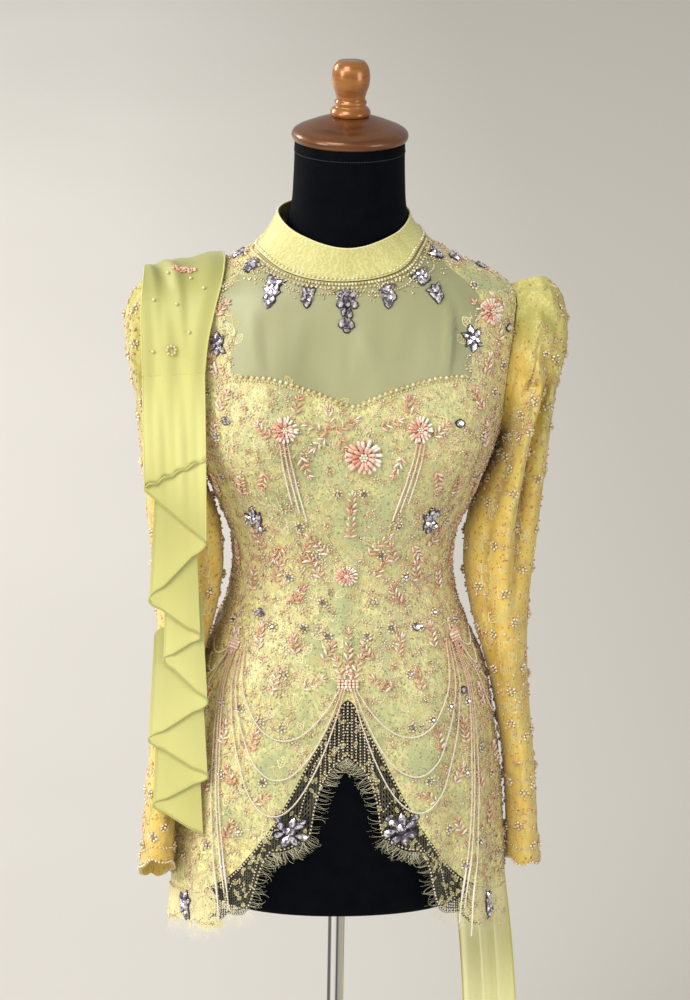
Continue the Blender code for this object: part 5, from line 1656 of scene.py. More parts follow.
def make_lace_border():
    """The unlined border below the lining: net, leaves, and lashes of thread along its edge."""
    for name, first, last, columns in (
        ("lace_front_left", 0.2, 89.5, 88),
        ("lace_front_right", -89.5, -0.2, 88),
        ("lace_back", 90.5, 269.5, 172),
    ):
        leaves = border_leaves(first, last).build(name + "_leaves", "lace_thread")
        lashes = border_lashes(first, last).build(name + "_lashes", "lash_thread")
        angle, v = np.meshgrid(np.linspace(first, last, columns + 1), np.linspace(0, 1, 17))
        height = lerp(lace_edge(angle), lining_edge(wrapped(angle)) - 0.0008, v)
        obj, points = net(name + "_net", angle, height)
        worn(obj, points, name, [leaves, lashes], 1 - NET_OPEN**2)


# ---------------------------------------------------------------- beads
def spaced(points, gap):
    """Places along a line of points, gap metres apart, as positions between its points."""
    steps = np.linalg.norm(np.diff(points, axis=0), axis=1)
    length = np.concatenate([[0], np.cumsum(steps)])
    at = np.arange(gap / 2, length[-1], gap)
    return np.interp(at, length, np.arange(len(points)))


def beads_along(group, p, q, surface, gap, size, out, shape):
    """Beads along a line on a surface, gap apart."""
    index = spaced(surface.frame(p, q, out)[0], gap)
    p, q = (np.interp(index, np.arange(len(line)), line) for line in (p, q))
    frames = surface.frame(p, q, out)
    group.put(shape, frames, size, tint=rng.uniform(0.3, 1.0, len(p)))


SPRAY_BEAD = 0.0086


def spray(group, angle, height, turn, length, leaves):
    """A leaf spray of long beads: pairs that lean out from a stem, and one at its tip."""
    p, q, turn = np.array([angle]), np.array([height]), np.array([turn])
    out = WALL + 0.0019
    for k in range(leaves):
        share = (k + 0.5) / leaves
        for side in (-1, 1):
            lean = side * (0.85 - 0.25 * share)
            jitter = rng.normal(0, 0.24, 1)
            along, reach = length * share, SPRAY_BEAD * 0.42
            x = np.sin(-turn) * along + np.sin(-(turn + lean)) * reach
            y = np.cos(turn) * along + np.cos(turn + lean) * reach
            long = SPRAY_BEAD * rng.uniform(0.8, 1.15, 1) * (1.05 - 0.35 * share)
            size = np.stack([long * 0.36, long, long * 0.34], -1)
            frames = BLOUSE.beside(p, q, x, y, out)
            group.put(GRAIN, frames, size, turn + lean + jitter, 0.15, tint=rng.random(1))
    frames = BLOUSE.beside(p, q, np.sin(-turn) * length * 1.05, np.cos(turn) * length * 1.05, out)
    size = tuple(SPRAY_BEAD * s for s in (0.3, 0.9, 0.3))
    group.put(GRAIN, frames, size, turn, 0.1, tint=rng.random(1))


def rosettes(pearls, centres, surface, p, q, radius, petals, out):
    """Small flowers: pearls round a darker stone."""
    spin = rng.uniform(0, 1, len(p))
    width = 2 * math.pi * radius / petals * 0.98
    for k in range(petals):
        a = 2 * math.pi * k / petals + spin
        frames = surface.beside(p, q, radius * np.cos(a), radius * np.sin(a), out)
        pearls.put(SEED, frames, width * 1.1, tint=rng.uniform(0.3, 1.0, len(p)))
    frames = surface.frame(p, q, out + radius * 0.1)
    size = (radius * 1.05, radius * 1.05, radius * 0.7)
    centres.put(ROUND_STONE, frames, size, tint=rng.uniform(0.0, 0.8, len(p)))


# The larger leaf sprays of the front, on the wearer's left. Each has a mirrored twin.
SPRAYS = (
    # angle, height, turn, length, leaves
    (19, 1.168, 0.2, 0.018, 3),
    (27, 1.146, -0.9, 0.02, 4),
    (18, 1.128, 2.7, 0.026, 4),
    (31, 1.11, 3.4, 0.024, 4),
    (9, 1.012, -0.75, 0.03, 5),
    (13, 0.985, -0.5, 0.024, 4),
    (24, 1, 0.3, 0.024, 4),
    (33, 1.02, -2.6, 0.022, 4),
    (28, 0.955, 0.5, 0.022, 4),
    (11, 0.9, 0.6, 0.022, 4),
    (18, 0.872, 1.1, 0.026, 4),
    (22, 0.905, -0.3, 0.02, 4),
    (30, 0.865, 0.2, 0.024, 4),
    (42, 0.905, 0, 0.026, 5),
    (40, 0.975, 0.3, 0.024, 4),
    (45, 1.01, -0.4, 0.024, 4),
    (47, 1.075, 0.2, 0.026, 5),
    (53, 1.125, 0.1, 0.026, 5),
    (49, 1.165, 0.4, 0.022, 4),
    (50, 1.2, -0.4, 0.022, 4),
    (59, 1.23, 0.1, 0.024, 4),
    (50, 1.262, 0.4, 0.018, 3),
    (62, 1.262, 0.3, 0.018, 3),
    (56, 0.96, 0.1, 0.026, 5),
    (58, 0.89, -0.1, 0.028, 5),
    (36, 0.8, 0.2, 0.024, 4),
    (42, 0.76, -0.5, 0.022, 4),
    (50, 0.8, 0.1, 0.026, 5),
    (57, 0.745, 0.2, 0.024, 4),
    (46, 0.7, 0.4, 0.022, 4),
    (64, 0.7, 0, 0.024, 4),
    (66, 0.83, 0.2, 0.026, 5),
    (33, 0.745, 0.9, 0.018, 3),
    (70, 1.06, 0.1, 0.026, 5),
    (72, 0.98, -0.1, 0.026, 5),
    (76, 0.76, 0.2, 0.024, 4),
)
CENTRE_SPRAYS = (
    (-7, 1.152, 0.15, 0.026, 4),
    (-7.5, 1.15, 1.15, 0.028, 4),
    (-6.5, 1.151, -1, 0.028, 4),
    (-8.5, 1.148, 2.3, 0.02, 3),
    (-4.5, 1.148, 3.6, 0.022, 3),
    (8.5, 1.156, -1.2, 0.024, 4),
    (0.5, 1.03, 0, 0.034, 5),
    (0.5, 1.06, 0, 0.026, 4),
    (0, 0.895, 0, 0.036, 6),
    (-1.5, 0.88, 0.35, 0.026, 4),
    (1.8, 0.882, -0.35, 0.026, 4),
)
BUDS = (
    # small rosettes on the wearer's left, mirrored: angle, height
    (5, 1.085), (12.5, 0.96), (21, 0.932), (9, 0.925), (22, 1.045), (16, 1.012),
    (31, 0.985), (26, 0.885), (37, 0.93), (49, 0.94), (52, 1.04), (58, 1.09),
    (50, 1.14), (57, 1.18), (63, 1.205), (55, 1.29), (24, 0.83), (33, 0.835),
    (43, 0.845), (54, 0.845), (30, 0.77), (49, 0.77), (60, 0.79), (39, 0.712),
    (54, 0.69), (68, 0.755), (70, 0.87), (66, 0.925), (75, 0.66), (47, 0.668),
)
FLOWERS = (
    # node, height, angle, width
    ("flower_centre", 1.126, 4, 0.038),
    ("flower_bust_left", 1.154, 22.5, 0.026),
    ("flower_bust_right", 1.154, -22.5, 0.026),
    ("flower_shoulder_left", 1.266, 53, 0.026),
    ("flower_waist", 0.99, -1, 0.022),
)


def flower(petals, hearts, height, angle, width):
    """A beaded flower: two rings of raised petals round a heart of pearls."""
    p, q = np.array([angle]), np.array([height])
    radius = width / 2
    for ring, (reach, count, long, rise, tilt, tint) in enumerate(
        (
            (0.74, 18, 0.5, 0.0026, 0.28, (0.55, 1.0)),
            (0.42, 12, 0.42, 0.0036, 0.55, (0.05, 0.6)),
        )
    ):
        for k in range(count):
            a = 2 * math.pi * (k + 0.5 * ring + rng.uniform(-0.3, 0.3)) / count
            share = radius * (reach * rng.uniform(0.9, 1.1))
            frames = BLOUSE.beside(p, q, -share * math.sin(a), share * math.cos(a), WALL + rise)
            size = (radius * 0.23, radius * (long * rng.uniform(0.95, 1.35)), radius * 0.23)
            turn = np.array([a + rng.uniform(-0.15, 0.15)])
            pale = np.clip(rng.uniform(*tint) - 0.35 * math.sin(a), 0, 1)
            petals.put(BUGLE, frames, size, turn, tilt, tint=pale)
    for k in range(7):
        a = 2 * math.pi * k / 6
        reach = 0.0 if k == 6 else radius * 0.17
        frames = BLOUSE.beside(p, q, reach * math.cos(a), reach * math.sin(a), WALL + 0.0042)
        hearts.put(FINE_BALL, frames, radius * 0.18, tint=0.8)


def make_flowers():
    hearts = Joined()
    for node, *place in FLOWERS:
        petals = Joined()
        flower(petals, hearts, *place)
        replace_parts(petals.build(node + "_petals", "pink_bead"), node)
    hearts.build("flower_hearts", "pearl")


CRYSTALS = (
    # node, height, angle, width, tall, kind of cluster
    ("crystal_neck_1", 1.313, -94, 0.022, 0.014, "fan"),
    ("crystal_neck_2", 1.314, -62, 0.017, 0.018, "fan"),
    ("crystal_neck_3", 1.311, -34, 0.019, 0.017, "fan"),
    ("crystal_neck_4", 1.298, -30, 0.018, 0.019, "drop"),
    ("crystal_neck_5", 1.306, -16, 0.015, 0.02, "drop"),
    ("crystal_neck_7", 1.3065, 13, 0.017, 0.022, "drop"),
    ("crystal_neck_8", 1.311, 34, 0.02, 0.015, "fan"),
    ("crystal_neck_9", 1.2965, 32, 0.02, 0.02, "drop"),
    ("crystal_neck_10", 1.3115, 69, 0.021, 0.015, "fan"),
    ("crystal_neck_11", 1.3035, 82.5, 0.015, 0.013, "fan"),
    ("crystal_neck_12", 1.292, 94, 0.012, 0.011, "fan"),
    ("crystal_shoulder_left", 1.242, 42.5, 0.024, 0.024, "leaves"),
    ("crystal_shoulder_right", 1.234, -48.5, 0.02, 0.022, "leaves"),
    ("crystal_waist_left", 1.046, 39, 0.022, 0.032, "leaves"),
    ("crystal_waist_right", 1.044, -46.5, 0.024, 0.032, "leaves"),
    ("crystal_front_hem_left", 0.72, 19, 0.034, 0.034, "star"),
    ("crystal_front_hem_right", 0.718, -19, 0.034, 0.034, "star"),
    ("crystal_side_hem_left", 0.608, 66, 0.024, 0.03, "leaves"),
    ("crystal_side_hem_right", 0.605, -72, 0.024, 0.03, "leaves"),
)
# The stones of a cluster: x and y in halves of its width and height, turn, length and width in
# shares of its height.
CLUSTERS = {
    "fan": (
        (-0.62, 0.35, 62, 0.62, 0.3),
        (0.62, 0.35, -62, 0.62, 0.3),
        (0, 0.45, 0, 0.36, 0.36),
        (-0.42, -0.35, 28, 0.58, 0.3),
        (0.42, -0.35, -28, 0.58, 0.3),
        (0, -0.55, 0, 0.5, 0.28),
    ),
    "drop": (
        (-0.55, 0.55, 50, 0.42, 0.24),
        (0.55, 0.55, -50, 0.42, 0.24),
        (0, 0.5, 0, 0.4, 0.24),
        (-0.35, -0.15, 22, 0.44, 0.24),
        (0.38, -0.1, -22, 0.44, 0.24),
        (0, -0.62, 0, 0.5, 0.3),
    ),
    "leaves": (
        (-0.05, 0.68, 8, 0.34, 0.18),
        (-0.55, 0.3, 48, 0.38, 0.2),
        (0.45, 0.36, -42, 0.36, 0.19),
        (0, 0.1, 0, 0.24, 0.24),
        (-0.42, -0.28, 150, 0.36, 0.19),
        (0.36, -0.22, -145, 0.4, 0.2),
        (0.1, -0.68, 170, 0.36, 0.2),
        (0.72, -0.55, -120, 0.24, 0.15),
    ),
    "star": (
        (0, 0, 0, 0.24, 0.24),
        (0, 0.62, 180, 0.36, 0.19),
        (-0.5, 0.36, 235, 0.34, 0.18),
        (0.54, 0.3, 120, 0.34, 0.18),
        (-0.62, -0.16, 285, 0.34, 0.18),
        (0.62, -0.24, 70, 0.32, 0.17),
        (-0.3, -0.62, 330, 0.36, 0.19),
        (0.26, -0.66, 30, 0.34, 0.18),
        (-0.82, 0.72, 225, 0.2, 0.13),
        (0.85, 0.7, 135, 0.2, 0.13),
    ),
}
CENTRE_DROP = (
    # the stones of crystal_neck_6, from its middle: x, y, turn, length, width
    (-0.0085, 0.0155, 75, 0.0095, 0.006),
    (0, 0.0165, 0, 0.0075, 0.0075),
    (0.0085, 0.015, -70, 0.01, 0.006),
    (-0.0058, 0.008, -15, 0.0115, 0.0062),
    (0.001, 0.0075, 5, 0.009, 0.005),
    (0.0072, 0.007, 25, 0.011, 0.006),
    (-0.0026, -0.002, 170, 0.009, 0.0052),
    (0.003, -0.003, -8, 0.0095, 0.0056),
    (-0.004, -0.013, -12, 0.0105, 0.0056),
    (0.0036, -0.0135, 14, 0.011, 0.0058),
    (0, -0.0205, 0, 0.006, 0.006),
)
CENTRE_PLACE = (1.292, -2.0)
SILVER_OVALS = ((1.158, -45.0), (1.158, 37.0), (0.942, -47.0), (0.93, 35.0), (0.858, 52.0), (1.243, 66.0))
STONE_OUT, STONE_THICK = WALL + 0.001, 0.003


def set_stone(stones, settings, place, spot, shape):
    """A stone in its dark setting. place is (height, angle), and spot is (x, y, turn in
    degrees, length, width)."""
    x, y, turn, length, width = spot
    p, q = np.array([place[1]]), np.array([place[0]])
    turn = np.radians([turn])
    natural = shape[0][:, 0].max() * 2
    size = np.array([[width / natural, length, STONE_THICK]])
    stones.put(shape, BLOUSE.beside(p, q, x, y, STONE_OUT), size, turn, tint=rng.uniform(0.2, 1.0, 1))
    rim = size + np.array([[0.003 / natural, 0.003, -0.6 * STONE_THICK]])
    frames = BLOUSE.beside(p, q, x, y, STONE_OUT - 0.0005)
    settings.put(shape, frames, rim, turn, tint=rng.uniform(0, 1, 1))


def make_crystals():
    settings = Joined()
    for node, height, angle, width, tall, kind in CRYSTALS:
        stones = Joined()
        for x, y, turn, long, wide in CLUSTERS[kind]:
            shape = ROUND_STONE
            if long != wide:
                shape = PEAR if abs(x) > 0.3 else MARQUISE
                turn += rng.uniform(-24, 24)
            x, y = x + rng.uniform(-0.08, 0.08), y + rng.uniform(-0.08, 0.08)
            more = 1.18 * rng.uniform(0.85, 1.15)
            spot = (x * width / 2, y * tall / 2, turn, long * tall * more, wide * tall * more)
            set_stone(stones, settings, (height, angle), spot, shape)
        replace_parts(stones.build(node + "_stones", "stone", 20), node)
    stones = Joined()
    for spot in CENTRE_DROP:
        set_stone(stones, settings, CENTRE_PLACE, spot, ROUND_STONE if spot[3] == spot[4] else PEAR)
    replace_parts(stones.build("crystal_neck_6_stones", "stone", 20), "crystal_neck_6")
    stones = Joined()
    for place in SILVER_OVALS:
        set_stone(stones, settings, place, (0, 0, 80, 0.0105, 0.0068), MARQUISE)
    stones.build("silver_ovals", "stone", 20)
    settings.build("stone_settings", "setting", 20)


HEAD_TALL, HEAD_STEP = 0.009, 0.0034


def swag(start, end, sag, steps):
    """Places (height, angle, bead size) along a strand that sags between two places."""
    t = np.linspace(0, 1, steps * 3 + 1)
    height = lerp(start[0], end[0], t) - 4 * sag * t * (1 - t)
    return height, lerp(start[1], end[1], t), np.ones_like(t)


def strand(group, path, size=0.0021, gap=0.0018, out=WALL + 0.0032):
    """A string of beads along a path of (height, angle, bead size), pinker near its top."""
    height, angle, scale = path
    index = spaced(BLOUSE.frame(angle, height, out)[0], gap)
    height, angle, scale = (np.interp(index, np.arange(len(line)), line) for line in path)
    frames = BLOUSE.frame(angle, height, out)
    drop = (height.max() - height) / max(np.ptp(height), 1e-6)
    tint = np.clip(0.15 + 1.3 * drop + rng.uniform(-0.15, 0.15, len(angle)), 0, 1)
    group.put(SEED, frames, scale * size * 1.1, tint=tint)


def tassel(name, height, angle, paths):
    """A beaded head with strands of beads from it."""
    beads = Joined()
    step = math.degrees(HEAD_STEP / float(FORM.at("half_width", height)))
    i, j = np.meshgrid(np.arange(len(paths)), np.arange(3))
    at = angle + (i.ravel() + 0.5 - len(paths) / 2) * step
    frames = BLOUSE.frame(at, height + HEAD_TALL * (j.ravel() + 0.5) / 3, WALL + 0.0027)
    beads.put(FINE_BALL, frames, 0.0033, tint=rng.uniform(0.0, 1.0, len(at)))
    n = 46
    away = rng.uniform(-1, 1, n) * step * 1.6
    rise = HEAD_TALL * rng.uniform(-0.4, 2.6, n)
    frames = BLOUSE.frame(angle + away * (1 - 0.2 * rise / HEAD_TALL), height + rise, WALL + 0.0016)
    beads.put(BALL, frames, rng.uniform(0.0018, 0.0032, n), tint=rng.random(n))
    for path in paths:
        strand(beads, path)
    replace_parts(beads.build(name + "_strings", "string"), name)


def make_strands():
    head = 0.874
    side_head = {1: (0.906, 57.0), -1: (0.9, -56.0)}
    paths = []
    for sign in (-1, 1):
        height, angle = side_head[sign]
        for k, sag in enumerate((0.152, 0.114, 0.072)):
            start = (head, sign * (1.2 + 0.9 * k))
            end = (height + 0.003 * k, angle - sign * (3.8 + 1.3 * k))
            paths.append(swag(start, end, sag, 9))
    tassel("beads_centre", head, 0.0, paths)
    for name, sign, length in (("beads_left", 1, 0.588), ("beads_right", -1, 0.606)):
        height, angle = side_head[sign]
        paths = []
        for k, (top, low) in enumerate(((-1.0, -12.0), (0.2, -9.8), (1.4, -7.6))):
            t = np.linspace(0, 1, 22)
            end = length + 0.016 * ((k + 1) % 3)
            thick = 1 + 0.7 * bell(t - 0.86, 0.05)
            paths.append((lerp(height, end, t), angle + sign * lerp(top, low, t), thick))
        start = (height, angle + sign * 3.0)
        paths.append(swag(start, (height - 0.012, angle + sign * 16.0), 0.022, 5))
        start = (height, angle + sign * 4.2)
        paths.append(swag(start, (height + 0.004, angle + sign * 21.0), 0.012, 5))
        tassel(name, height, angle + sign * 1.5, paths)
    thin = Joined()
    for sign in (-1, 1):
        for k in range(3):
            start = (1.146 - 0.003 * k, sign * (22.0 + 1.2 * k))
            end = (1.052 + 0.01 * k, sign * (18.5 + 2.6 * k))
            strand(thin, swag(start, end, 0.006 - 0.003 * k, 8), 0.0024, 0.0019, WALL + 0.0014)
        height, angle = side_head[sign]
        for fall, far, sag in ((0.07, 42.0, 0.055), (0.012, 44.0, 0.048)):
            start, end = (height, angle + sign * 3.6), (height - fall, angle + sign * far)
            strand(thin, swag(start, end, sag, 12), 0.0022, 0.0019, WALL + 0.0014)
    thin.build("thin_strands", "string")


def both_sides(rows):
    """Rows that start with (angle, height, turn) with their mirror images."""
    rows = np.array(rows, float)
    twins = rows.copy()
    twins[:, 0] *= -1
    if rows.shape[1] > 2:
        twins[:, 2] *= -1
    return np.concatenate([rows, twins])


def motif_places(spacing, first, last, low, high):
    """Places spread over a stretch of the blouse, as many as the lace there calls for."""
    count_p = int((last - first) * DEGREE / spacing)
    count_q = int((high - low) / spacing)
    p, q = np.meshgrid(np.linspace(first, last, count_p), np.linspace(low, high, count_q))
    p = (p + rng.uniform(-0.42, 0.42, p.shape) * spacing / DEGREE).ravel()
    q = (q + rng.uniform(-0.42, 0.42, q.shape) * spacing).ravel()
    keep = on_blouse(p, q, 0.004) & (rng.random(len(p)) < lace_share(p, q))
    return p[keep], q[keep]


def florets(pinks, pearls, p, q, reach, out):
    """Small flowers of short beads round a pearl."""
    spin = rng.uniform(0, 2 * np.pi, len(p))
    for k in range(5):
        turn = spin + 2 * np.pi * k / 5
        frames = BLOUSE.beside(p, q, -reach * 0.62 * np.sin(turn), reach * 0.62 * np.cos(turn), out)
        long = reach * rng.uniform(0.6, 0.85, len(p))
        size = np.stack([reach * 0.36 + 0 * p, long, reach * 0.34 + 0 * p], -1)
        pinks.put(SEED, frames, size, turn, 0.25, tint=rng.random(len(p)))
    pearls.put(SEED, BLOUSE.frame(p, q, out + 0.0008), 0.0024, tint=rng.random(len(p)))


def lash_fans(lace, p, q, long, count):
    """Fans of curled threads, as on the edges of the lace's figures."""
    lean = rng.uniform(0, 2 * np.pi, len(p))
    for k in range(count):
        turn = lean + (k - count / 2) * 0.32
        size = np.stack([long * rng.choice([-1.0, 1.0], len(p)), long * rng.uniform(0.7, 1.1, len(p))], -1)
        lace.draw(BLOUSE, p, q, turn, size, WISP, rng.uniform(0.3, 1.0, len(p)))


def make_embroidery(name, first, last, spacing):
    """The small work between the sprays: florets, trios of pearls, fans of thread."""
    pinks, pearls, threads = Joined(), Joined(), Lace(WALL + 0.0005)
    places = motif_places(spacing, first, last, 0.6, 1.315)
    kind = rng.random(len(places[0]))

    def some(low, high):
        return (line[(kind > low) & (kind < high)] for line in places)

    florets(pinks, pearls, *some(-1, 0.32), 0.005, WALL + 0.0012)
    p, q = some(0.3, 0.62)
    for k in range(3):
        spin = rng.uniform(0, 2 * np.pi, len(p))
        x, y = 0.0019 * np.cos(spin), 0.0019 * np.sin(spin) + 0.0012 * k
        size = rng.uniform(0.0016, 0.0026, len(p)) * 1.15
        pearls.put(SEED, BLOUSE.beside(p, q, x, y, WALL + 0.0011), size, tint=rng.random(len(p)))
    p, q = some(0.5, 0.66)
    for k in range(4):
        frames = BLOUSE.beside(p, q, 0.0021 * k * np.sin(7 * p), 0.0021 * k + 0 * p, WALL + 0.0009)
        pinks.put(SEED, frames, (0.0015, 0.0021, 0.0015), tint=rng.random(len(p)))
    lash_fans(threads, *some(0.45, 2), 0.009, 5)
    pinks.build("pink_seeds_" + name, "pink_bead")
    pearls.build("seed_pearls_" + name, "pearl")
    threads.build("lace_wisps_" + name, "lace_thread")


# How many beads are strewn between the motifs. SLEEVE_BEADS is of each of a sleeve's two kinds.
LOOSE_PEARLS, NECK_PEARLS, SLEEVE_BEADS = 1500, 260, 420


def make_front_beads():
    pinks, pearls, golds, darks = Joined(), Joined(), Joined(), Joined()
    back = both_sides(SPRAYS)
    back = back[(np.abs(back[:, 0]) < 66) & (np.arange(len(back)) % 2 == 0)]
    back[:, 0] = 180 - back[:, 0]
    rows = np.concatenate([both_sides(SPRAYS), CENTRE_SPRAYS, back])
    for row in rows[np.argsort(rows[:, 4], kind="stable")]:
        spray(pinks, *row[:4], int(row[4]))
    buds = both_sides(BUDS)
    back = buds[::2] * (-1, 1) + (180, 0)
    rosettes(pearls, darks, BLOUSE, *np.concatenate([buds, back]).T, 0.0041, 7, WALL + 0.0014)
    count = LOOSE_PEARLS
    angle, height = rng.uniform(-180, 180, count), rng.uniform(0.62, 1.3, count)
    keep = on_blouse(angle, height) & (rng.random(count) < lace_share(angle, height))
    frames = BLOUSE.frame(angle[keep], height[keep], WALL + 0.0009)
    size = rng.uniform(0.0014, 0.0024, keep.sum())
    pearls.put(SEED, frames, size * 1.15, tint=rng.uniform(0.2, 1.0, keep.sum()))
    bust, neck = np.linspace(-41.5, 41.5, 200), np.linspace(-179.5, 179.5, 700)
    below = NECK_SIDE + 0 * neck
    scallops = below - 0.009 - 0.0042 * np.abs(np.sin(np.radians(neck * 6.0)))
    for group, surface, line, height, gap, size, out in (
        (golds, BLOUSE, bust, sweetheart(bust), 0.006, 0.0042, WALL + 0.0018),
        (golds, BLOUSE, bust, sweetheart(bust) - 0.004, 0.003, 0.002, WALL + 0.0009),
        (pearls, COLLAR_FACE, neck, 0.07 + 0 * neck, 0.0044, 0.003, COLLAR_WALL + 0.0008),
        (golds, BLOUSE, neck, below - 0.0022, 0.0034, 0.0034, WALL + 0.0014),
        (golds, BLOUSE, neck, below - 0.006, 0.0046, 0.003, WALL + 0.0012),
        (golds, BLOUSE, neck, scallops, 0.003, 0.0022, WALL + 0.001),
    ):
        beads_along(group, line, height, surface, gap, size, out, BALL)
    count = NECK_PEARLS
    angle = rng.uniform(-75, 95, count)
    height = NECK_SIDE - 0.004 - 0.016 * rng.random(count) ** 1.6
    height = height - 0.012 * bell(angle, 9.0) * rng.random(count)
    frames = BLOUSE.frame(angle, height, WALL + 0.0009)
    pearls.put(BALL, frames, rng.uniform(0.0015, 0.0028, count), tint=rng.random(count))
    pinks.build("pink_beads", "pink_bead")
    pearls.build("pearls", "pearl")
    golds.build("gold_pearls", "gold_pearl")
    darks.build("rosette_stones", "stone", 20)


def make_sleeve_beads():
    pearls, pinks, darks = Joined(), Joined(), Joined()
    for side, sign in SIDES.items():
        surface = SLEEVES[side]
        row, turn = np.meshgrid(np.arange(3.5, 17.3, 1.15), np.arange(0, 360, 45.0))
        turn = (turn + 22.5 * ((row / 1.15).astype(int) % 2) + rng.uniform(-7, 7, row.shape)).ravel()
        row = (row + rng.uniform(-0.25, 0.25, row.shape)).ravel()
        rosettes(pearls, darks, surface, turn * sign, row, 0.0036, 6, 0.0013)
        count = SLEEVE_BEADS
        p, q = rng.uniform(0, 360, count) * sign, rng.uniform(3, 17.3, count)
        pinks.put(SEED, surface.frame(p, q, 0.0008), 0.0026, tint=0.3 * rng.random(count))
        p, q = rng.uniform(0, 360, count) * sign, rng.uniform(2.5, 17.3, count)
        turn = rng.uniform(0, 2 * math.pi, count)
        size = (0.0026, 0.0056, 0.0026)
        pinks.put(SEED, surface.frame(p, q, 0.001), size, turn, tint=rng.uniform(0, 0.8, count))
        line = np.linspace(0, 360, 300)
        for row, gap, size in ((17.9, 0.004, 0.0034), (17.78, 0.003, 0.0018), (17.5, 0.0044, 0.0024)):
            beads_along(pearls, line * sign, row + 0 * line, surface, gap, size, size / 2, SEED)
    pearls.build("sleeve_pearls", "pearl")
    pinks.build("sleeve_pinks", "pink_bead")
    darks.build("sleeve_stones", "gold_pearl", 20)


# ---------------------------------------------------------------- the stand
NECK_CAP = (
    # radius, height
    (0.056, 1.43), (0.059, 1.432), (0.06, 1.436), (0.0585, 1.44), (0.045, 1.447), (0.03, 1.4525),
    (0.0195, 1.4555),
)
FINIAL = (
    (0.019, 1.456), (0.0208, 1.459), (0.019, 1.4635), (0.016, 1.4665), (0.0166, 1.47),
    (0.015, 1.4735), (0.0168, 1.481), (0.0192, 1.489), (0.0197, 1.496), (0.0188, 1.5035),
    (0.0165, 1.509), (0.0138, 1.512),
)
POLE_RADIUS, FOOT_TOP = 0.009, 0.05
FOOT = (
    (0.157, 0.0), (0.16, 0.002), (0.16, 0.006), (0.156, 0.009), (0.04, 0.0175), (0.017, 0.023),
    (0.016, 0.05),
)


def rings_to_solid(name, rings, look, sharp):
    """A closed solid through rings of points (levels, columns, 3), flat at both ends."""
    levels, columns = rings.shape[:2]
    index = np.arange(levels * columns).reshape(levels, columns)
    after = np.roll(index, -1, axis=1)
    quads = np.stack([index[:-1], after[:-1], after[1:], index[1:]], -1).reshape(-1, 4)
    faces = [tuple(quad) for quad in quads.tolist()]
    faces += [tuple(index[0][::-1].tolist()), tuple(index[-1].tolist())]
    return finished(name, mesh_of(name, rings.reshape(-1, 3), faces), look, sharp)


def turned(name, profile, sides, look, fine=5, sharp=50):
    """A solid turned about the stand's axis from (radius, height) pairs, rounded between them."""
    profile = np.array(profile)
    steps = np.linalg.norm(np.diff(profile, axis=0), axis=1)
    length = np.concatenate([[0], np.cumsum(steps)])
    curve = Table(("length", "radius", "height"), np.column_stack([length, profile]))
    at = np.linspace(0, 1, fine + 1)[:-1]
    keys = np.append((length[:-1, None] + at * steps[:, None]).ravel(), length[-1])
    radius, height = curve.at("radius", keys)[:, None], curve.at("height", keys)[:, None]
    turn = np.linspace(0, 2 * np.pi, sides, endpoint=False)
    rings = xyz(radius * np.cos(turn), radius * np.sin(turn), height)
    return rings_to_solid(name, rings, look, sharp)


def make_stand():
    heights = np.concatenate([[0.612, 0.614, 0.617, 0.622], np.linspace(0.63, NECK_TOP, 110)])
    shrink = 1 - 0.045 * np.clip((0.622 - heights) / 0.01, 0, 1) ** 2
    welt = 0.0005 * bell(heights - 1.4215, 0.0012) - 0.0004 * bell(heights - 1.4245, 0.001)
    turn = np.linspace(0, 360, 96, endpoint=False)[None]
    rings = torso(heights[:, None], turn, welt[:, None])
    rings[..., :2] *= shrink[:, None, None]
    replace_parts(rings_to_solid("form_skin", rings, "jersey", 60), "dress_form")
    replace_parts(turned("cap_turned", NECK_CAP, 72, "copper_paint"), "neck_cap")
    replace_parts(turned("finial_turned", FINIAL, 48, "finial_paint"), "finial")
    pole = ((POLE_RADIUS, FOOT_TOP + SEAM), (POLE_RADIUS, FORM_BOTTOM - SEAM))
    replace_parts(turned("pole_tube", pole, 40, "chrome", 8), "pole")
    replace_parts(turned("foot_disc", FOOT, 96, "chrome"), "foot")
    stitches = Joined()
    at = np.arange(0, 360, 3.0)
    ring = Surface(lambda p, q: torso(q, p), 0.5, 0.001)
    frames = ring.frame(at, 1.4195 + 0 * at, 0.0004)
    stitches.put(BALL, frames, (0.0019, 0.0007, 0.0007), tint=0.9)
    stitches.build("form_stitches", "stitch")


# ---------------------------------------------------------------- floor, light and camera
TARGET = Vector((0.0014, 0.0, 1.044))
DISTANCE, ELEVATION, AZIMUTH, ROLL = 4.5, 17.5, -4.0, 1.0
FOCAL_PIXELS, LONG_SIDE, SENSOR_WIDTH = 4286, 1000, 36.0
SUN = ((-2.6, -3.2, 3.6), 1.75, 32.0, (1.0, 0.97, 0.92))  # place, strength, degrees wide, colour
LIGHTS = (
    # name, place, aim, size, power, colour
    ("wash", (-5.0, 4.0, 3.2), (-1.5, 5.0, 0.0), 3.0, 300.0, (1.0, 0.97, 0.92)),
    ("side", (-2.8, -1.6, 2.2), (0.0, 0.0, 1.0), 1.4, 40.0, (1.0, 0.97, 0.93)),
    ("fill", (3.0, -2.6, 1.5), (0.2, 0.0, 0.8), 1.8, 36.0, (1.0, 0.98, 0.95)),
)
SKY, SKY_STRENGTH = (0.97, 0.96, 0.93), 0.42
FLOOR_HALF = 40.0


def aimed(obj, way):
    """Turns a lamp to shine along a way."""
    obj.rotation_euler = Vector(way).to_track_quat("-Z", "Y").to_euler()


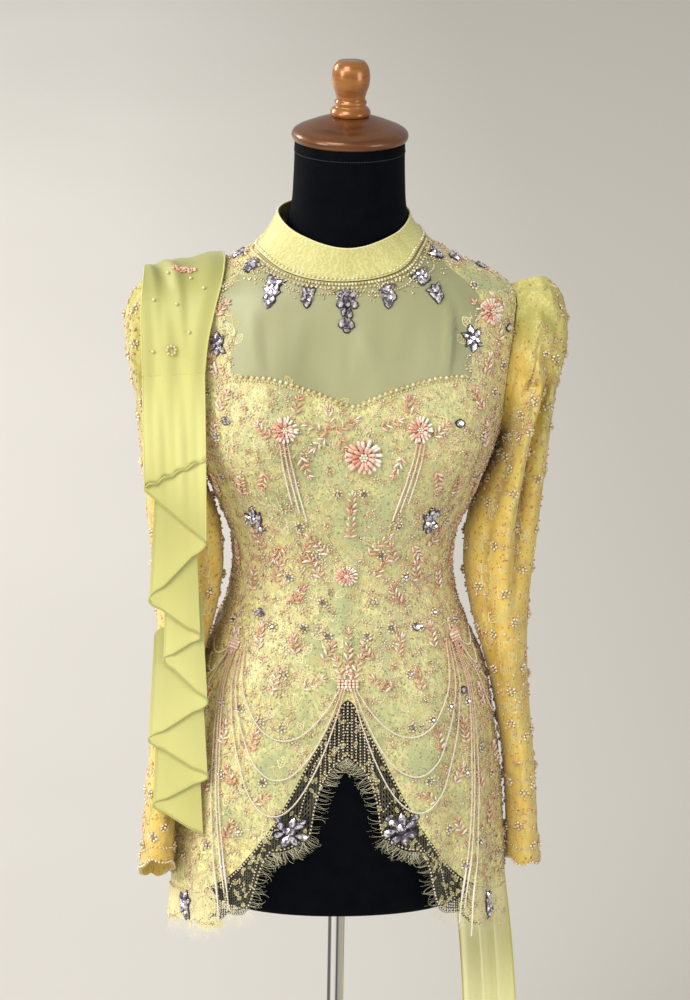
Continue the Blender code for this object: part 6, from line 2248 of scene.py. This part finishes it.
def make_stage():
    corners = [(x * FLOOR_HALF, y * FLOOR_HALF, 0) for x, y in ((-1, -1), (1, -1), (1, 1), (-1, 1))]
    mesh = bpy.data.meshes.new("floor")
    mesh.from_pydata(corners, [], [(0, 1, 2, 3)])
    mesh.materials.append(LOOKS["floor"])
    in_scene("floor", mesh)
    place, strength, width, color = SUN
    sun = bpy.data.lights.new("sun", "SUN")
    sun.energy, sun.angle, sun.color = strength, math.radians(width), color
    aimed(in_scene("sun", sun), -Vector(place))
    for name, place, aim, size, power, color in LIGHTS:
        light = bpy.data.lights.new(name, "AREA")
        light.shape, light.size, light.energy, light.color = "DISK", size, power, color
        lamp = in_scene(name, light)
        lamp.location = place
        aimed(lamp, Vector(aim) - lamp.location)
    world = bpy.data.worlds.new("studio")
    world.use_nodes = True
    sky = world.node_tree.nodes["Background"]
    sky.inputs["Color"].default_value = (*SKY, 1.0)
    sky.inputs["Strength"].default_value = SKY_STRENGTH
    bpy.context.scene.world = world


def make_camera():
    tilt, turn, roll = (math.radians(x) for x in (ELEVATION, AZIMUTH, ROLL))
    back = Vector((math.sin(turn) * math.cos(tilt), -math.cos(turn) * math.cos(tilt), math.sin(tilt)))
    right = Vector((0, 0, 1)).cross(back).normalized()
    up = back.cross(right)
    turned_right = right * math.cos(roll) + up * math.sin(roll)
    turned_up = up * math.cos(roll) - right * math.sin(roll)
    lens = bpy.data.cameras.new("photo_view")
    lens.sensor_fit, lens.sensor_width = "AUTO", SENSOR_WIDTH
    lens.lens = FOCAL_PIXELS / LONG_SIDE * lens.sensor_width
    camera = in_scene("photo_view", lens)
    place = Matrix((turned_right, turned_up, back)).transposed().to_4x4()
    place.translation = TARGET + back * DISTANCE
    camera.matrix_world = place
    bpy.context.scene.camera = camera


make_panels()
make_collar()
make_sleeves()
make_shawl()
make_blouse_lace()
make_bead_vines()
make_sleeve_lace()
make_lace_border()
border_pearls()
make_shawl_beads()
make_flowers()
make_crystals()
make_strands()
make_front_beads()
make_embroidery("front", -98.0, 98.0, 0.0078)
make_embroidery("back", 98.0, 262.0, 0.013)
make_sleeve_beads()
make_stand()
make_stage()
make_camera()
bpy.context.scene.view_settings.view_transform = "Standard"
